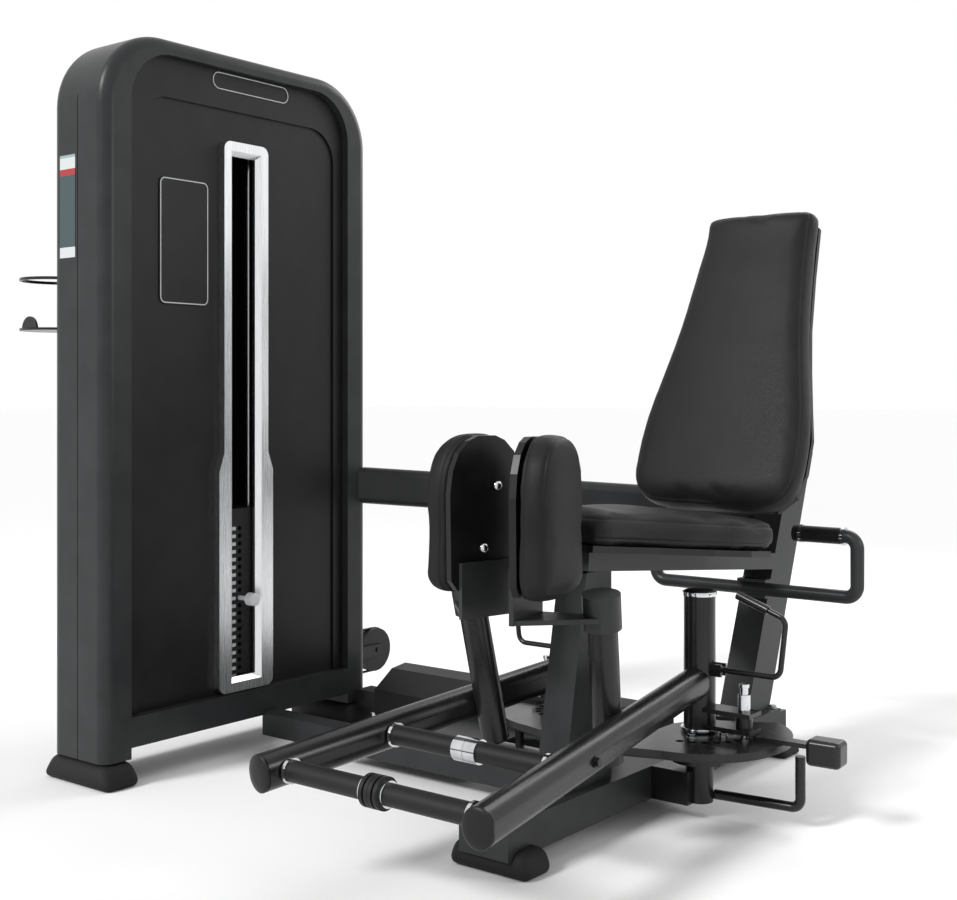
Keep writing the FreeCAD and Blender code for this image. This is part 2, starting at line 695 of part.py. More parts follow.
ceiling = rod_top - seat_gap - 14
bar_z = S.tower_tall - S.crossbar_drop
crossbar = Part.makeBox(60, S.tower_deep - 2 * S.arch_band - 2 * seat_gap, 10,
                        Vec(stack_mid_x - 30, S.tower_start + S.arch_band + seat_gap, bar_z))
for hole_y in (window_y, drop_y):
    crossbar = crossbar.cut(Part.makeCylinder(9, 10, Vec(stack_mid_x, hole_y, bar_z)))
for rod_y in rod_ys:
    crossbar = crossbar.cut(Part.makeCylinder(S.rod_thick / 2, 10, Vec(stack_mid_x, rod_y, bar_z)))
forks = [
    pulley_fork(top_pulley_mid, Z_AXIS * (ceiling - top_pulley_z)),
    pulley_fork(side_pulley_mid, Z_AXIS * (ceiling - top_pulley_z)),
    pulley_fork(rear_pulley_mid, Y_AXIS * (tower_end + seat_gap + 14 - rear_pulley_mid.y)),
    pulley_fork(turn_pulley_mid, Y_AXIS * (
        tower_end - S.arch_band - seat_gap - 14 - turn_pulley_mid.y)),
]
node(feature("PulleyForks", Part.makeCompound(forks + [crossbar])), "pulley_forks")

# Cable: up from the head plate, over the top pulley, down inside and out to the rear pulley
head_top = stack_top + cap_tall
cable_up = Part.makeCylinder(
    S.cable_thick / 2, top_pulley_z - head_top, Vec(stack_mid_x, window_y, head_top))
node(feature("StackCable", cable_up), "stack_cable")


def tower_cable():
    """The run over the top pulleys, down the tower, out round the rear pulley and back in."""
    x = stack_mid_x

    def spot(centre, radius, degrees):
        angle = math.radians(degrees)
        return Vec(x, centre.y + radius * math.cos(angle), centre.z + radius * math.sin(angle))

    edges = []

    def wrap(centre, radius, begin, end):
        arc = Part.Arc(*[spot(centre, radius, begin + (end - begin) * t) for t in (0, 0.5, 1)])
        if edges:
            last = edges[-1].Vertexes[-1].Point
            edges.append(Part.LineSegment(last, arc.StartPoint).toShape())
        edges.append(arc.toShape())

    wrap(top_pulley_mid, run_r, 180, 90)
    wrap(side_pulley_mid, run_r, 90, 0)
    wrap(turn_pulley_mid, small_run, 180, 270)
    wrap(rear_pulley_mid, run_r, 90, -90)
    end = Vec(x, tower_end - 24, rear_pulley_mid.z - run_r)
    edges.append(Part.LineSegment(edges[-1].Vertexes[-1].Point, end).toShape())
    path = Part.Wire(edges)
    ring = Part.Wire(Part.makeCircle(S.cable_thick / 2, spot(top_pulley_mid, run_r, 180), Z_AXIS))
    return path.makePipeShell([ring], True, False)


node(feature("TowerCable", tower_cable()), "tower_cable")

# Bottle ring and phone tray on the tower's front edge


def holder(z, ring_out, wall, tall, closed):
    """A ring or tray that stands out of the tower's far side, with its lug on the tower."""
    mid = Vec(rear_x - ring_out - seat_gap, S.tower_start + 62, z)
    disc = Part.makeCylinder(ring_out, tall, mid)
    if not closed:
        disc = disc.cut(Part.makeCylinder(ring_out - wall, tall, mid))
    lug = Part.makeBox(ring_out * 0.5, 46, tall, Vec(rear_x - ring_out * 0.5, mid.y - 23, z))
    if not closed:
        lug = lug.cut(Part.makeCylinder(ring_out - wall, tall, mid))
    return disc.fuse(lug)


bottle_ring = holder(S.tower_tall - S.ring_drop, 74, 5, 6, False)
tray_z = S.tower_tall - S.tray_drop
bottle_tray = holder(tray_z, 74, 5, 5, True)
tray_mid = Vec(rear_x - 74 - seat_gap, S.tower_start + 62, tray_z)
stop_disc = Part.makeCylinder(26, 4, tray_mid + Vec(-8, -60, 3), Y_AXIS)
stop_disc = stop_disc.common(Part.makeBox(60, 40, 60, tray_mid + Vec(-38, -70, 3)))
node(feature("BottleHolder", Part.makeCompound([bottle_ring, bottle_tray.fuse(stop_disc)])),
     "bottle_holder")

# Floor frame

main_beam = box("MainBeam", "beam_wide", "beam_end - beam_start", "beam_tall",
                "-beam_wide / 2", "beam_start", "beam_low")
node(main_beam, "main_beam")
tie_span = "tower_gap - beam_wide / 2"
front_tie = box("FrontTie", tie_span, "tie_wide", "beam_tall * 0.8",
                "-tower_gap", "tie_front - tie_wide / 2", "beam_low")
rear_tie = box("RearTie", tie_span, "tie_wide", "beam_tall * 0.8",
               "-tower_gap", "tie_rear - tie_wide / 2", "beam_low")
node(group("CrossBeams", [front_tie, rear_tie]), "cross_beams")


def oval_foot(long, wide, tall, y_mid):
    """A rubber foot with round ends and a softened top edge."""
    block = Part.makeBox(long, wide, tall, Vec(-long / 2, y_mid - wide / 2, 0))
    upright = [e for e in block.Edges if abs(e.Vertexes[0].Z - e.Vertexes[-1].Z) > 1]
    block = block.makeFillet(wide * 0.42, upright)
    top = [e for e in block.Edges if all(abs(v.Z - tall) < 0.01 for v in e.Vertexes)]
    return block.makeFillet(8, top)


front_foot = oval_foot(S.foot_long, S.foot_wide, S.beam_low + 14, 0)
front_foot = front_foot.cut(Part.makeBox(
    S.beam_wide, S.foot_wide * 2, S.beam_tall, Vec(-S.beam_wide / 2, S.beam_start, S.beam_low)))
rear_foot_y = S.beam_end - S.foot_wide / 2 + 10
rear_foot = oval_foot(S.foot_long, S.foot_wide, S.beam_low, rear_foot_y)
node(feature("FloorFeet", Part.makeCompound([front_foot, rear_foot])), "floor_feet")

# Seat post, column and rail

lean = math.radians(S.post_lean)
post_dir = Vec(0, math.sin(lean), math.cos(lean))
post_out = Vec(0, -math.cos(lean), math.sin(lean))
beam_top = S.beam_low + S.beam_tall
post_turn = FreeCAD.Rotation(X_AXIS, -S.post_lean)
post_foot = Vec(0, S.post_base, beam_top)


def leaning_box(wide, deep, long, along, out, side=0):
    """A block in the post's own frame: along it, out from its axis towards the seat."""
    block = Part.makeBox(wide, deep, long, Vec(-wide / 2 + side, -deep / 2 - out, along))
    block.Placement = FreeCAD.Placement(post_foot, post_turn).multiply(block.Placement)
    return block


floor_cut = Part.makeBox(2000, 2000, 1000, Vec(-1000, -500, beam_top - 1000))
post_solid = leaning_box(S.post_wide, S.post_deep, S.post_long + 60, -60, 0).cut(floor_cut)
back_foot = Vec(0, S.back_y, S.back_low)
offset = back_foot - post_foot
slide_along = offset.dot(post_dir) + S.slide_height
sleeve_outer = S.slide_tube + 2 * (S.slide_play + S.sleeve_wall)
sleeve_bore = S.slide_tube + 2 * S.slide_play
sleeve_long = 150


def slide_block(size, out_from, out_to):
    """A square bar along the backrest's slide, from one distance out of the post's axis to another."""
    deep = out_to - out_from
    return leaning_box(size, deep, size, slide_along - size / 2, (out_from + out_to) / 2)


sleeve_from, sleeve_to = -S.post_deep / 2 - 12, sleeve_long - S.post_deep / 2
post_solid = post_solid.fuse(slide_block(sleeve_outer, sleeve_from, sleeve_to))
post_solid = post_solid.cut(slide_block(sleeve_bore, sleeve_from - 5, sleeve_to + 5))
base_plate = Part.makeBox(S.beam_wide, 150, 8, Vec(-S.beam_wide / 2, S.post_base - 75, beam_top))
node(feature("SeatPost", post_solid.fuse(base_plate)), "seat_post")


def front_column():
    """The seat's front column, flared towards its foot."""
    rail_z = S.seat_rail_front
    half_x, half_y = S.column_wide / 2, S.column_deep / 2
    flare = 70
    foot = polygon_face([Vec(-half_x, S.column_y - half_y - flare, beam_top),
                         Vec(half_x, S.column_y - half_y - flare, beam_top),
                         Vec(half_x, S.column_y + half_y, beam_top),
                         Vec(-half_x, S.column_y + half_y, beam_top)]).OuterWire
    head = polygon_face([Vec(-half_x, S.column_y - half_y, rail_z),
                         Vec(half_x, S.column_y - half_y, rail_z),
                         Vec(half_x, S.column_y + half_y, rail_z),
                         Vec(-half_x, S.column_y + half_y, rail_z)]).OuterWire
    return Part.makeLoft([foot, head], True, True)


tilt = math.radians(S.seat_tilt)
seat_turn = FreeCAD.Rotation(X_AXIS, -S.seat_tilt)
rail_start = S.column_y - S.column_deep / 2 - 10


def tilted_block(wide, long, tall, y_start, z_at_start, side=0):
    """A block that lies along the seat's slope from a point on the centre plane."""
    block = Part.makeBox(wide, long, tall, Vec(-wide / 2 + side, 0, 0))
    block.Placement = FreeCAD.Placement(Vec(0, y_start, z_at_start), seat_turn)
    return block


rail_z_start = S.seat_rail_front + (S.column_y - rail_start) * math.tan(tilt)
rail_long = 2000
rail = tilted_block(S.seat_rail_wide, rail_long, S.seat_rail_tall, rail_start, rail_z_start)
behind_post = leaning_box(3000, 3000, 3000, -1000, S.post_deep / 2 - 1500)
rail = rail.cut(behind_post)
column = front_column().cut(rail.fuse(tilted_block(
    S.seat_rail_wide * 2, 600, 200, rail_start - 100,
    rail_z_start + 100 * math.tan(tilt))))
node(feature("FrontColumn", column), "front_column")
node(feature("SeatRail", rail), "seat_rail")


def seat_profile():
    """Stations of the seat cushion from its front: narrow at the thighs, wide at the hips."""
    rise = S.seat_wide - S.seat_slim
    shares = [
        (0.0, 0.80, 0.0, 0.62), (0.03, 0.95, 0.0, 0.90), (0.10, 1.0, 0.04, 1.0),
        (0.35, 1.0, 0.30, 1.0), (0.60, 1.0, 0.74, 1.0), (0.80, 1.0, 0.98, 1.0),
        (0.92, 1.0, 1.0, 1.0), (0.975, 0.97, 0.97, 0.92), (1.0, 0.90, 0.9, 0.68),
    ]
    return [(S.seat_long * along, S.seat_slim * narrow + rise * widen, full)
            for along, narrow, widen, full in shares]


seat_shape = cushion(seat_profile(), S.seat_thick, 12, 0.16)
seat_place = FreeCAD.Placement(
    Vec(0, S.seat_front, S.seat_height + S.board_thick), FreeCAD.Rotation(X_AXIS, -90 - S.seat_tilt))
node(feature("SeatCushion", seat_shape, seat_place), "seat_cushion")


def seat_board():
    """The board under the cushion, a little smaller than it."""
    rise = S.seat_wide - S.seat_slim
    inset = 16
    sides = [(0.02, S.seat_slim * 0.9 - inset), (0.12, S.seat_slim - inset),
             (0.35, S.seat_slim + rise * 0.3 - inset), (0.60, S.seat_slim + rise * 0.74 - inset),
             (0.80, S.seat_wide - inset), (0.96, S.seat_wide - inset)]
    outline = [Vec(half, share * S.seat_long, 0) for share, half in sides]
    outline += [Vec(-half, share * S.seat_long, 0) for share, half in reversed(sides)]
    solid = polygon_face(outline).extrude(Vec(0, 0, S.board_thick - seat_gap))
    solid.Placement = FreeCAD.Placement(Vec(0, S.seat_front, S.seat_height), seat_turn)
    return solid


node(feature("SeatBoard", seat_board()), "seat_board")


def seat_brackets():
    """Cross channels between the rail and the board, with a bolt lug on each side."""
    rail_top = rail_z_start + S.seat_rail_tall / math.cos(tilt)
    pieces = []
    for share in (0.30, 0.58, 0.86):
        along = share * S.seat_long
        y = S.seat_front + along * math.cos(tilt)
        board_z = S.seat_height - along * math.sin(tilt)
        rail_here = rail_top - (y - rail_start) * math.tan(tilt)
        tall = (board_z - rail_here) * math.cos(tilt)
        half = S.seat_slim + (S.seat_wide - S.seat_slim) * share - 40
        bar = tilted_block(2 * half, 34, tall - seat_gap, y, rail_here + seat_gap / 2)
        pieces.append(bar)
    return Part.makeCompound(pieces)


node(feature("SeatBrackets", seat_brackets()), "seat_brackets")

# Backrest on its slide


def back_profile():
    """Stations of the backrest from its lower end: round below, wide at the hips, slim at the top."""
    shares = [
        (0.0, 0.48, 0.55), (0.012, 0.70, 0.78), (0.04, 0.88, 0.94), (0.08, 0.965, 1.0),
        (0.14, 1.0, 1.0), (0.24, 1.0, 1.0), (0.34, 0.955, 1.0), (0.46, 0.875, 1.0),
        (0.60, 0.79, 1.0), (0.80, 0.715, 1.0), (0.94, 0.68, 1.0), (0.985, 0.665, 0.94),
        (1.0, 0.64, 0.72),
    ]
    return [(S.back_long * along, S.back_wide * share, thick) for along, share, thick in shares]


back_turn = FreeCAD.Rotation(X_AXIS, -S.post_lean)
back_plane = back_foot - post_out * S.back_thick
back_shape = cushion(back_profile(), S.back_thick, 10, 0.14)
node(feature("BackrestCushion", back_shape, FreeCAD.Placement(back_plane, back_turn)),
     "backrest_cushion")


def back_board():
    """The backrest's board, with the outline of the cushion set in."""
    inset = 14
    sides = [(0.03, 0.74), (0.08, 0.92), (0.15, 0.98), (0.26, 0.98), (0.36, 0.91),
             (0.48, 0.83), (0.62, 0.75), (0.80, 0.69), (0.97, 0.65)]
    outline = [Vec(S.back_wide * share - inset, 0, along * S.back_long) for along, share in sides]
    outline += [Vec(inset - S.back_wide * share, 0, along * S.back_long)
                for along, share in reversed(sides)]
    solid = polygon_face(outline).extrude(Vec(0, S.board_thick, 0))
    solid.Placement = FreeCAD.Placement(back_plane - post_out * seat_gap, back_turn)
    return solid


node(feature("BackrestBoard", back_board()), "backrest_board")
board_out = offset.dot(post_out) - S.back_thick - S.board_thick - 2 * seat_gap
slide_stop = -S.post_deep / 2 - 8
back_slide = slide_block(S.slide_tube, slide_stop, board_out)
flange_thick = 6
flange = leaning_box(120, flange_thick, 160, slide_along - 80, board_out - flange_thick / 2)
node(feature("BackrestSlide", back_slide.fuse(flange)), "backrest_slide")

pin_out = sleeve_to - 40
knob_side = leaning_box(1, 1, 1, slide_along, pin_out)
pin_start = knob_side.BoundBox.Center + X_AXIS * (sleeve_outer / 2 + seat_gap)
back_pin = Part.makeCylinder(5, 22, pin_start, X_AXIS)
back_pin = back_pin.fuse(Part.makeSphere(13, pin_start + X_AXIS * 30))
node(feature("BackrestPin", back_pin), "backrest_pin")

# Handles beside the seat

bar_r = S.bar_thick / 2
post_face_y = S.post_base + (S.bar_low - beam_top) * math.tan(lean) - (S.post_deep / 2) / math.cos(lean)
bar_y = post_face_y - bar_r / math.cos(lean) - seat_gap
bend = 25


def handle_side(sign):
    """One side's loop: from the lower bar out, up and back in to its grip."""
    return [Vec(sign * S.bar_reach, bar_y, S.bar_low), Vec(sign * S.bar_reach, bar_y, S.bar_high),
            Vec(sign * S.bar_inner, bar_y, S.bar_high)]


loop = bent_tube(
    list(reversed(handle_side(-1))) + handle_side(1), bend, bar_r)
grip_long = 86
grip_far = S.bar_reach - bend - S.ring_long - 1
sleeves, rings = [], []
for sign in (-1, 1):
    for low, high, radius, kind in (
        (grip_far - grip_long, grip_far, S.grip_thick / 2, sleeves),
        (grip_far, grip_far + S.ring_long, S.grip_thick / 2 + 2, rings),
        (grip_far - grip_long - S.ring_long, grip_far - grip_long, S.grip_thick / 2 + 2, rings),
    ):
        start = Vec(sign * low, bar_y, S.bar_high)
        tube = Part.makeCylinder(radius, high - low, start, X_AXIS * sign)
        bore = Part.makeCylinder(bar_r, high - low, start, X_AXIS * sign)
        kind.append(tube.cut(bore))
node(feature("GripRings", Part.makeCompound(rings)), "grip_rings")


caps = []
for sign in (-1, 1):
    caps.append(Part.makeCylinder(
        S.grip_thick / 2, 8, Vec(sign * S.bar_inner, bar_y, S.bar_high), X_AXIS * -sign))
node(feature("HandGrips", Part.makeCompound(sleeves + caps)), "hand_grips")
clamp = Part.makeBox(S.post_wide, 200, 40, Vec(-S.post_wide / 2, bar_y - 4, S.bar_low - 20))
clamp = clamp.cut(leaning_box(3000, 3000, 3000, -1000, S.post_deep / 2 - 1500 + seat_gap))
node(feature("HandleBar", loop.fuse(clamp)), "handle_bar")

# Brace from the tower to the seat post

def oval_tube(first, last, wide, tall):
    """A tube of upright flat-oval section from first to last."""
    along = (last - first).normalize()
    side = along.cross(Z_AXIS).normalize()
    up = side.cross(along).normalize()
    radius = wide / 2
    reach = tall / 2 - radius
    top_left = first + up * reach - side * radius
    top_right = first + up * reach + side * radius
    low_left = first - up * reach - side * radius
    low_right = first - up * reach + side * radius
    section = closed_face([
        Part.Arc(top_left, first + up * (reach + radius), top_right).toShape(),
        Part.LineSegment(top_right, low_right).toShape(),
        Part.Arc(low_right, first - up * (reach + radius), low_left).toShape(),
        Part.LineSegment(low_left, top_left).toShape(),
    ])
    return section.extrude(last - first)


brace_first = Vec(-S.tower_gap - 60, S.brace_y, S.brace_z)
brace_last = Vec(0, S.brace_end_y, S.brace_end_z)
brace = oval_tube(brace_first, brace_last, S.brace_wide, S.brace_tall)
brace = brace.cut(Part.makeBox(
    200, 1000, 1500, Vec(-S.tower_gap - 200, S.tower_start + S.tower_deep - 1000, 0)))
brace = brace.cut(Part.makeBox(200, 400, 1500, Vec(-S.post_wide / 2, 800, 0)))
node(feature("TowerBrace", brace), "tower_brace")

# Covers on the floor frame

cover_thick = 4
cover_x_low, cover_x_high = -S.tower_gap + 70, -S.beam_wide / 2 - 10
cover_front = 560


def rear_cover():
    """The dark cover over the cable pulleys, sloped down at its front, open underneath."""
    y_low, y_high = cover_front, S.cover_end
    low = S.beam_low
    side = [Vec(0, y_low, low), Vec(0, y_high, low), Vec(0, y_high, S.cover_high),
            Vec(0, y_low + 60, S.cover_high - 6), Vec(0, y_low, S.cover_high - 46)]
    solid = polygon_face(side).extrude(Vec(cover_x_high - cover_x_low, 0, 0))
    solid.translate(Vec(cover_x_low, 0, 0))
    inner = [Vec(0, y_low + cover_thick, low), Vec(0, y_high - cover_thick, low),
             Vec(0, y_high - cover_thick, S.cover_high - cover_thick),
             Vec(0, y_low + 60 + 1, S.cover_high - 6 - cover_thick),
             Vec(0, y_low + cover_thick, S.cover_high - 46 - cover_thick)]
    hollow = polygon_face(inner).extrude(Vec(cover_x_high - cover_x_low - 2 * cover_thick, 0, 0))
    hollow.translate(Vec(cover_x_low + cover_thick, 0, 0))
    tie_gap = Part.makeBox(
        2000, S.tie_wide + 2 * seat_gap, S.beam_tall * 0.8 + seat_gap,
        Vec(-1500, S.tie_rear - S.tie_wide / 2 - seat_gap, S.beam_low))
    return solid.cut(hollow).cut(tie_gap)


node(feature("RearCover", rear_cover()), "rear_cover")

tread_low = S.tread_high - 4
tread_long = cover_front - 2 * seat_gap - (S.tie_front + S.tie_wide / 2)
tread_y = S.tie_front + S.tie_wide / 2 + seat_gap
tread_solid = Part.makeBox(560, tread_long, 4, Vec(-620, tread_y, tread_low))
for rib_y in (tread_y, tread_y + tread_long - 6):
    tread_solid = tread_solid.fuse(Part.makeBox(
        560, 6, tread_low - S.beam_low, Vec(-620, rib_y, S.beam_low)))
tread_solid = tread_solid.cut(Part.makeBox(400, 130, 100, Vec(-340, S.hub_y - 60, 0)))
tread_solid = tread_solid.cut(Part.makeBox(60, 1000, 100, Vec(-60, 0, 0)))
node(feature("TreadPlate", tread_solid), "tread_plate")

# Lever pivots

housing_r = S.hub_thick / 2 - 4
shaft_r = S.shaft_thick / 2
cam_low = S.cam_top - S.cam_thick
housing_top = cam_low - 8
cam_hub_r = 40


def pivot_housings():
    """Bearing housings, their shafts and the arms that carry them from the main beam."""
    made = []
    for sign in (-1, 1):
        mid = Vec(sign * S.hub_x, S.hub_y, 0)
        housing = Part.makeCylinder(housing_r, housing_top - S.hub_low, mid + Z_AXIS * S.hub_low)
        shaft = Part.makeCylinder(shaft_r, S.hub_top - 6 - S.hub_low, mid + Z_AXIS * S.hub_low)
        arm = Part.makeBox(S.hub_x - S.beam_wide / 2, 90, S.beam_tall,
                           Vec(min(sign * S.hub_x, sign * S.beam_wide / 2), S.hub_y - 45, S.beam_low))
        lower = Part.makeCylinder(52, 34, mid + Z_AXIS * (housing_top - 34))
        made.append(housing.fuse(arm).fuse(lower).fuse(shaft))
    return made




def stop_bracket(sign):
    """A bent bar that carries the outer stop of one lever."""
    z = S.beam_low + 12
    start = Vec(sign * (S.hub_x + housing_r - 2), S.hub_y + 15, z)
    corner = Vec(sign * 308, S.hub_y + 32, z)
    top = Vec(sign * 308, S.hub_y + 32, cam_low - 12)
    return bent_tube([start, corner, top], 16, 9)


housings = Part.makeCompound(
    [housing.fuse(stop_bracket(sign)) for housing, sign in zip(pivot_housings(), (-1, 1))])
node(feature("PivotHousings", housings), "pivot_housings")

# One side's moving pieces, modelled on +X and mirrored for the other

hub_mid = Vec(S.hub_x, S.hub_y, 0)


def cam_plate():
    """The cam: a thick sector about the pivot over a smaller one, with a row of pin holes."""
    made = []
    for inset, low, thick in ((0, cam_low, S.cam_thick), (14, cam_low - 7, 7)):
        radius, lobe = S.cam_wide - inset, S.cam_lobe - inset
        first_angle, last_angle = math.radians(-84), math.radians(58)
        middle_angle = (first_angle + last_angle) / 2
        lobe_angle = math.radians(-109.8)
        tip = hub_mid + Vec(math.cos(lobe_angle) * lobe, math.sin(lobe_angle) * lobe, low)
        first, middle, last = [
            hub_mid + Vec(math.cos(angle) * radius, math.sin(angle) * radius, low)
            for angle in (first_angle, middle_angle, last_angle)]
        behind = hub_mid + Vec(-36, 74, low)
        beside = hub_mid + Vec(-64, 20, low)
        face = closed_face([
            Part.Arc(first, middle, last).toShape(),
            Part.LineSegment(last, behind).toShape(),
            Part.LineSegment(behind, beside).toShape(),
            Part.LineSegment(beside, tip).toShape(),
            Part.LineSegment(tip, first).toShape(),
        ])
        made.append(face.extrude(Z_AXIS * thick))
    plate = made[0].fuse(made[1])
    plate = plate.cut(Part.makeCylinder(shaft_r + S.shaft_play, 400, hub_mid))
    for index in range(9):
        angle = math.radians(-84 + index * 14)
        spot = hub_mid + Vec(math.cos(angle), math.sin(angle), 0) * pin_radius
        plate = plate.cut(Part.makeCylinder(pin_r + 0.5, 400, spot))
    return plate


pin_radius, pin_r = 90, 7
pin_angle = 0.0
pin_spot = hub_mid + Vec(math.cos(pin_angle), math.sin(pin_angle), 0) * pin_radius

weight_dir = Vec(241, 12, 0).normalize()
weight_mid = hub_mid + weight_dir * 241
weight_long, weight_wide, weight_tall = 62, 46, 46


def counterweight():
    """The block that balances the lever, on its arm from the cam."""
    block = Part.makeBox(weight_long, weight_wide, weight_tall,
                         Vec(-weight_long / 2, -weight_wide / 2, -weight_tall / 2))
    block = block.makeFillet(9, block.Edges)
    turn = FreeCAD.Rotation(X_AXIS, weight_dir)
    block.Placement = FreeCAD.Placement(weight_mid + Z_AXIS * (S.cam_top - 4), turn)
    arm = Part.makeBox(110, 26, 8, Vec(-110, -13, 0))
    arm.Placement = FreeCAD.Placement(
        weight_mid - weight_dir * 20 + Z_AXIS * S.cam_top, turn)
    return block.fuse(arm)


lever_front = Vec(S.lever_end_x, S.lever_end_y, S.lever_end_z)
lever_back = Vec(S.hub_x, S.hub_y, S.lever_hub_z)
lever_dir = (lever_back - lever_front).normalize()
flat_dir = Vec(lever_dir.x, lever_dir.y, 0).normalize()

hub_low_z = S.cam_top + 1


eye_mid = Vec(S.hub_x + S.hub_thick / 2 + 12, S.hub_y, 274)


def lever():
    """The lever: the pivot tube, the long oval tube, its end cap and the range arm's two plates."""
    hub = Part.makeCylinder(S.hub_thick / 2, S.hub_top - hub_low_z, hub_mid + Z_AXIS * hub_low_z)
    tube = oval_tube(lever_front, lever_back, S.lever_wide, S.lever_thick)
    body = hub.fuse(tube)
    for z in (range_low, range_high):
        arm_dir = Vec(math.cos(pin_angle), math.sin(pin_angle), 0)
        arm = Part.makeBox(pin_radius + 22, 46, 8, Vec(0, -23, 0))
        arm.Placement = FreeCAD.Placement(hub_mid + Z_AXIS * z, FreeCAD.Rotation(X_AXIS, arm_dir))
        body = body.fuse(arm)
    guide = Part.makeCylinder(15, range_high - range_low, pin_spot + Z_AXIS * range_low)
    body = body.fuse(guide)
    body = body.cut(Part.makeCylinder(pin_r + 0.3, 100, pin_spot + Z_AXIS * (range_low - 20)))
    for y in (-12, 6.4):
        body = body.fuse(Part.makeBox(26, 5.6, 22, Vec(eye_mid.x - 18, S.hub_y + y, eye_mid.z - 11)))
    body = body.fuse(Part.makeCylinder(4, 24, eye_mid - Y_AXIS * 12, Y_AXIS))
    bore = Part.makeCylinder(shaft_r + S.shaft_play, S.hub_top - hub_low_z - 4,
                             hub_mid + Z_AXIS * hub_low_z)
    return body.cut(bore)


range_low, range_high = 168, 198
barrel_high = 236
pin_low, pin_high = S.cam_top + 1, 249
range_pin = Part.makeCylinder(pin_r, pin_high - pin_low, pin_spot + Z_AXIS * pin_low)
pin_head = Part.makeCylinder(pin_r + 2, 6, pin_spot + Z_AXIS * pin_high)
barrel = Part.makeCylinder(11, barrel_high - range_high - 8, pin_spot + Z_AXIS * (range_high + 8))
barrel = barrel.cut(Part.makeCylinder(pin_r + 0.3, 100, pin_spot + Z_AXIS * range_high))


def lever_point(y):
    """The point of the lever's axis at one Y."""
    return lever_front + (lever_back - lever_front) * ((y - lever_front.y) / (lever_back.y - lever_front.y))


def peg_pieces(y):
    """One foot peg: its rod, its two bright rings and its rubber sleeve, along -X to the centre."""
    start = lever_point(y)
    outer = start.x - S.lever_wide / 2 + 6
    inner = S.mirror_gap + S.bumper_long
    z = start.z
    bar = Part.makeCylinder(S.peg_rod / 2, outer - inner + 4, Vec(inner - 4, y, z), X_AXIS)
    bright = []
    for low in (outer - 8 - S.ring_long, inner):
        bright.append(Part.makeCylinder(S.peg_ring / 2, S.ring_long, Vec(low, y, z), X_AXIS))
    sleeve_low, sleeve_high = inner + S.ring_long, outer - 8 - S.ring_long
    sleeve = Part.makeCylinder(S.peg_thick / 2, sleeve_high - sleeve_low, Vec(sleeve_low, y, z), X_AXIS)
    sleeve = sleeve.cut(Part.makeCylinder(
        S.peg_rod / 2, sleeve_high - sleeve_low, Vec(sleeve_low, y, z), X_AXIS))
    metal = bar.fuse(bright[0]).fuse(bright[1])
    return metal, sleeve, Vec(S.mirror_gap, y, z)


def ribbed_bumper(end):
    """A rubber buffer on a peg's inner end, with a groove between two ribs."""
    buffer = Part.makeCylinder(S.bumper_thick / 2, S.bumper_long, end, X_AXIS)
    groove_start = end + X_AXIS * (S.bumper_long * 0.4)
    groove = Part.makeCylinder(S.bumper_thick, S.bumper_long * 0.2, groove_start, X_AXIS).cut(
        Part.makeCylinder(S.bumper_thick / 2 - 4, S.bumper_long * 0.2, groove_start, X_AXIS))
    return buffer.cut(groove)


peg_metal, peg_rubber = [], []
for peg_y in (S.peg_front, S.peg_rear):
    metal, sleeve, inner_end = peg_pieces(peg_y)
    peg_rubber.append(sleeve)
    if peg_y == S.peg_front:
        peg_rubber.append(ribbed_bumper(inner_end).cut(metal))
    else:
        metal = metal.fuse(Part.makeCylinder(S.stop_thick / 2, S.bumper_long, inner_end, X_AXIS))
    peg_metal.append(metal)
lever_solid = lever()
for metal in peg_metal:
    lever_solid = lever_solid.cut(metal)
stem_foot = Vec(S.stem_x, S.stem_y, S.stem_low)
stem_tilt = math.radians(S.stem_lean)
side_lean = math.radians(4)
stem_dir = Vec(math.sin(side_lean), -math.sin(stem_tilt), math.cos(stem_tilt)).normalize()
stem_head = stem_foot + stem_dir * S.stem_long
stem_solid = round_bar(stem_foot, stem_head, S.stem_thick / 2)
stem_solid = stem_solid.fuse(round_bar(stem_head, stem_head + stem_dir * 50, 14))
saddle_mid = lever_point(S.stem_y)
saddle = round_bar(
    Vec(S.stem_x + 6, S.stem_y, saddle_mid.z), saddle_mid + Vec(-4, 0, 0), 20)
stem_solid = stem_solid.fuse(saddle).cut(lever_solid)

collar_low = stem_head + stem_dir * 0.3
collar_tall = 58
collar_r = 32
pad_normal = Vec(math.cos(math.radians(S.pad_turn)), math.sin(math.radians(S.pad_turn)), 0)
pad_along = Z_AXIS.cross(pad_normal)
pad_mid = Vec(S.pad_x, S.pad_y, S.pad_z)
pad_back = pad_mid - pad_normal * (S.pad_thick / 2)


def pad_stations():
    """Stations of the thigh pad from its bottom: squarish below and round at the top."""
    half = S.pad_wide / 2
    shares = [
        (0.0, 0.70, 0.55), (0.02, 0.84, 0.82), (0.07, 0.955, 0.98), (0.15, 1.0, 1.0),
        (0.40, 1.0, 1.0), (0.62, 1.0, 1.0), (0.76, 0.94, 1.0), (0.87, 0.79, 1.0),
        (0.94, 0.60, 0.95), (0.985, 0.38, 0.78), (1.0, 0.24, 0.55),
    ]
    return [(S.pad_tall * (along - 0.5), half * share, thick) for along, share, thick in shares]


pad_turn_place = FreeCAD.Placement(pad_back, FreeCAD.Rotation(Z_AXIS, 90 + S.pad_turn))
pad_shape = cushion(pad_stations(), S.pad_thick, 7, 0.14)
pad_shape.Placement = pad_turn_place


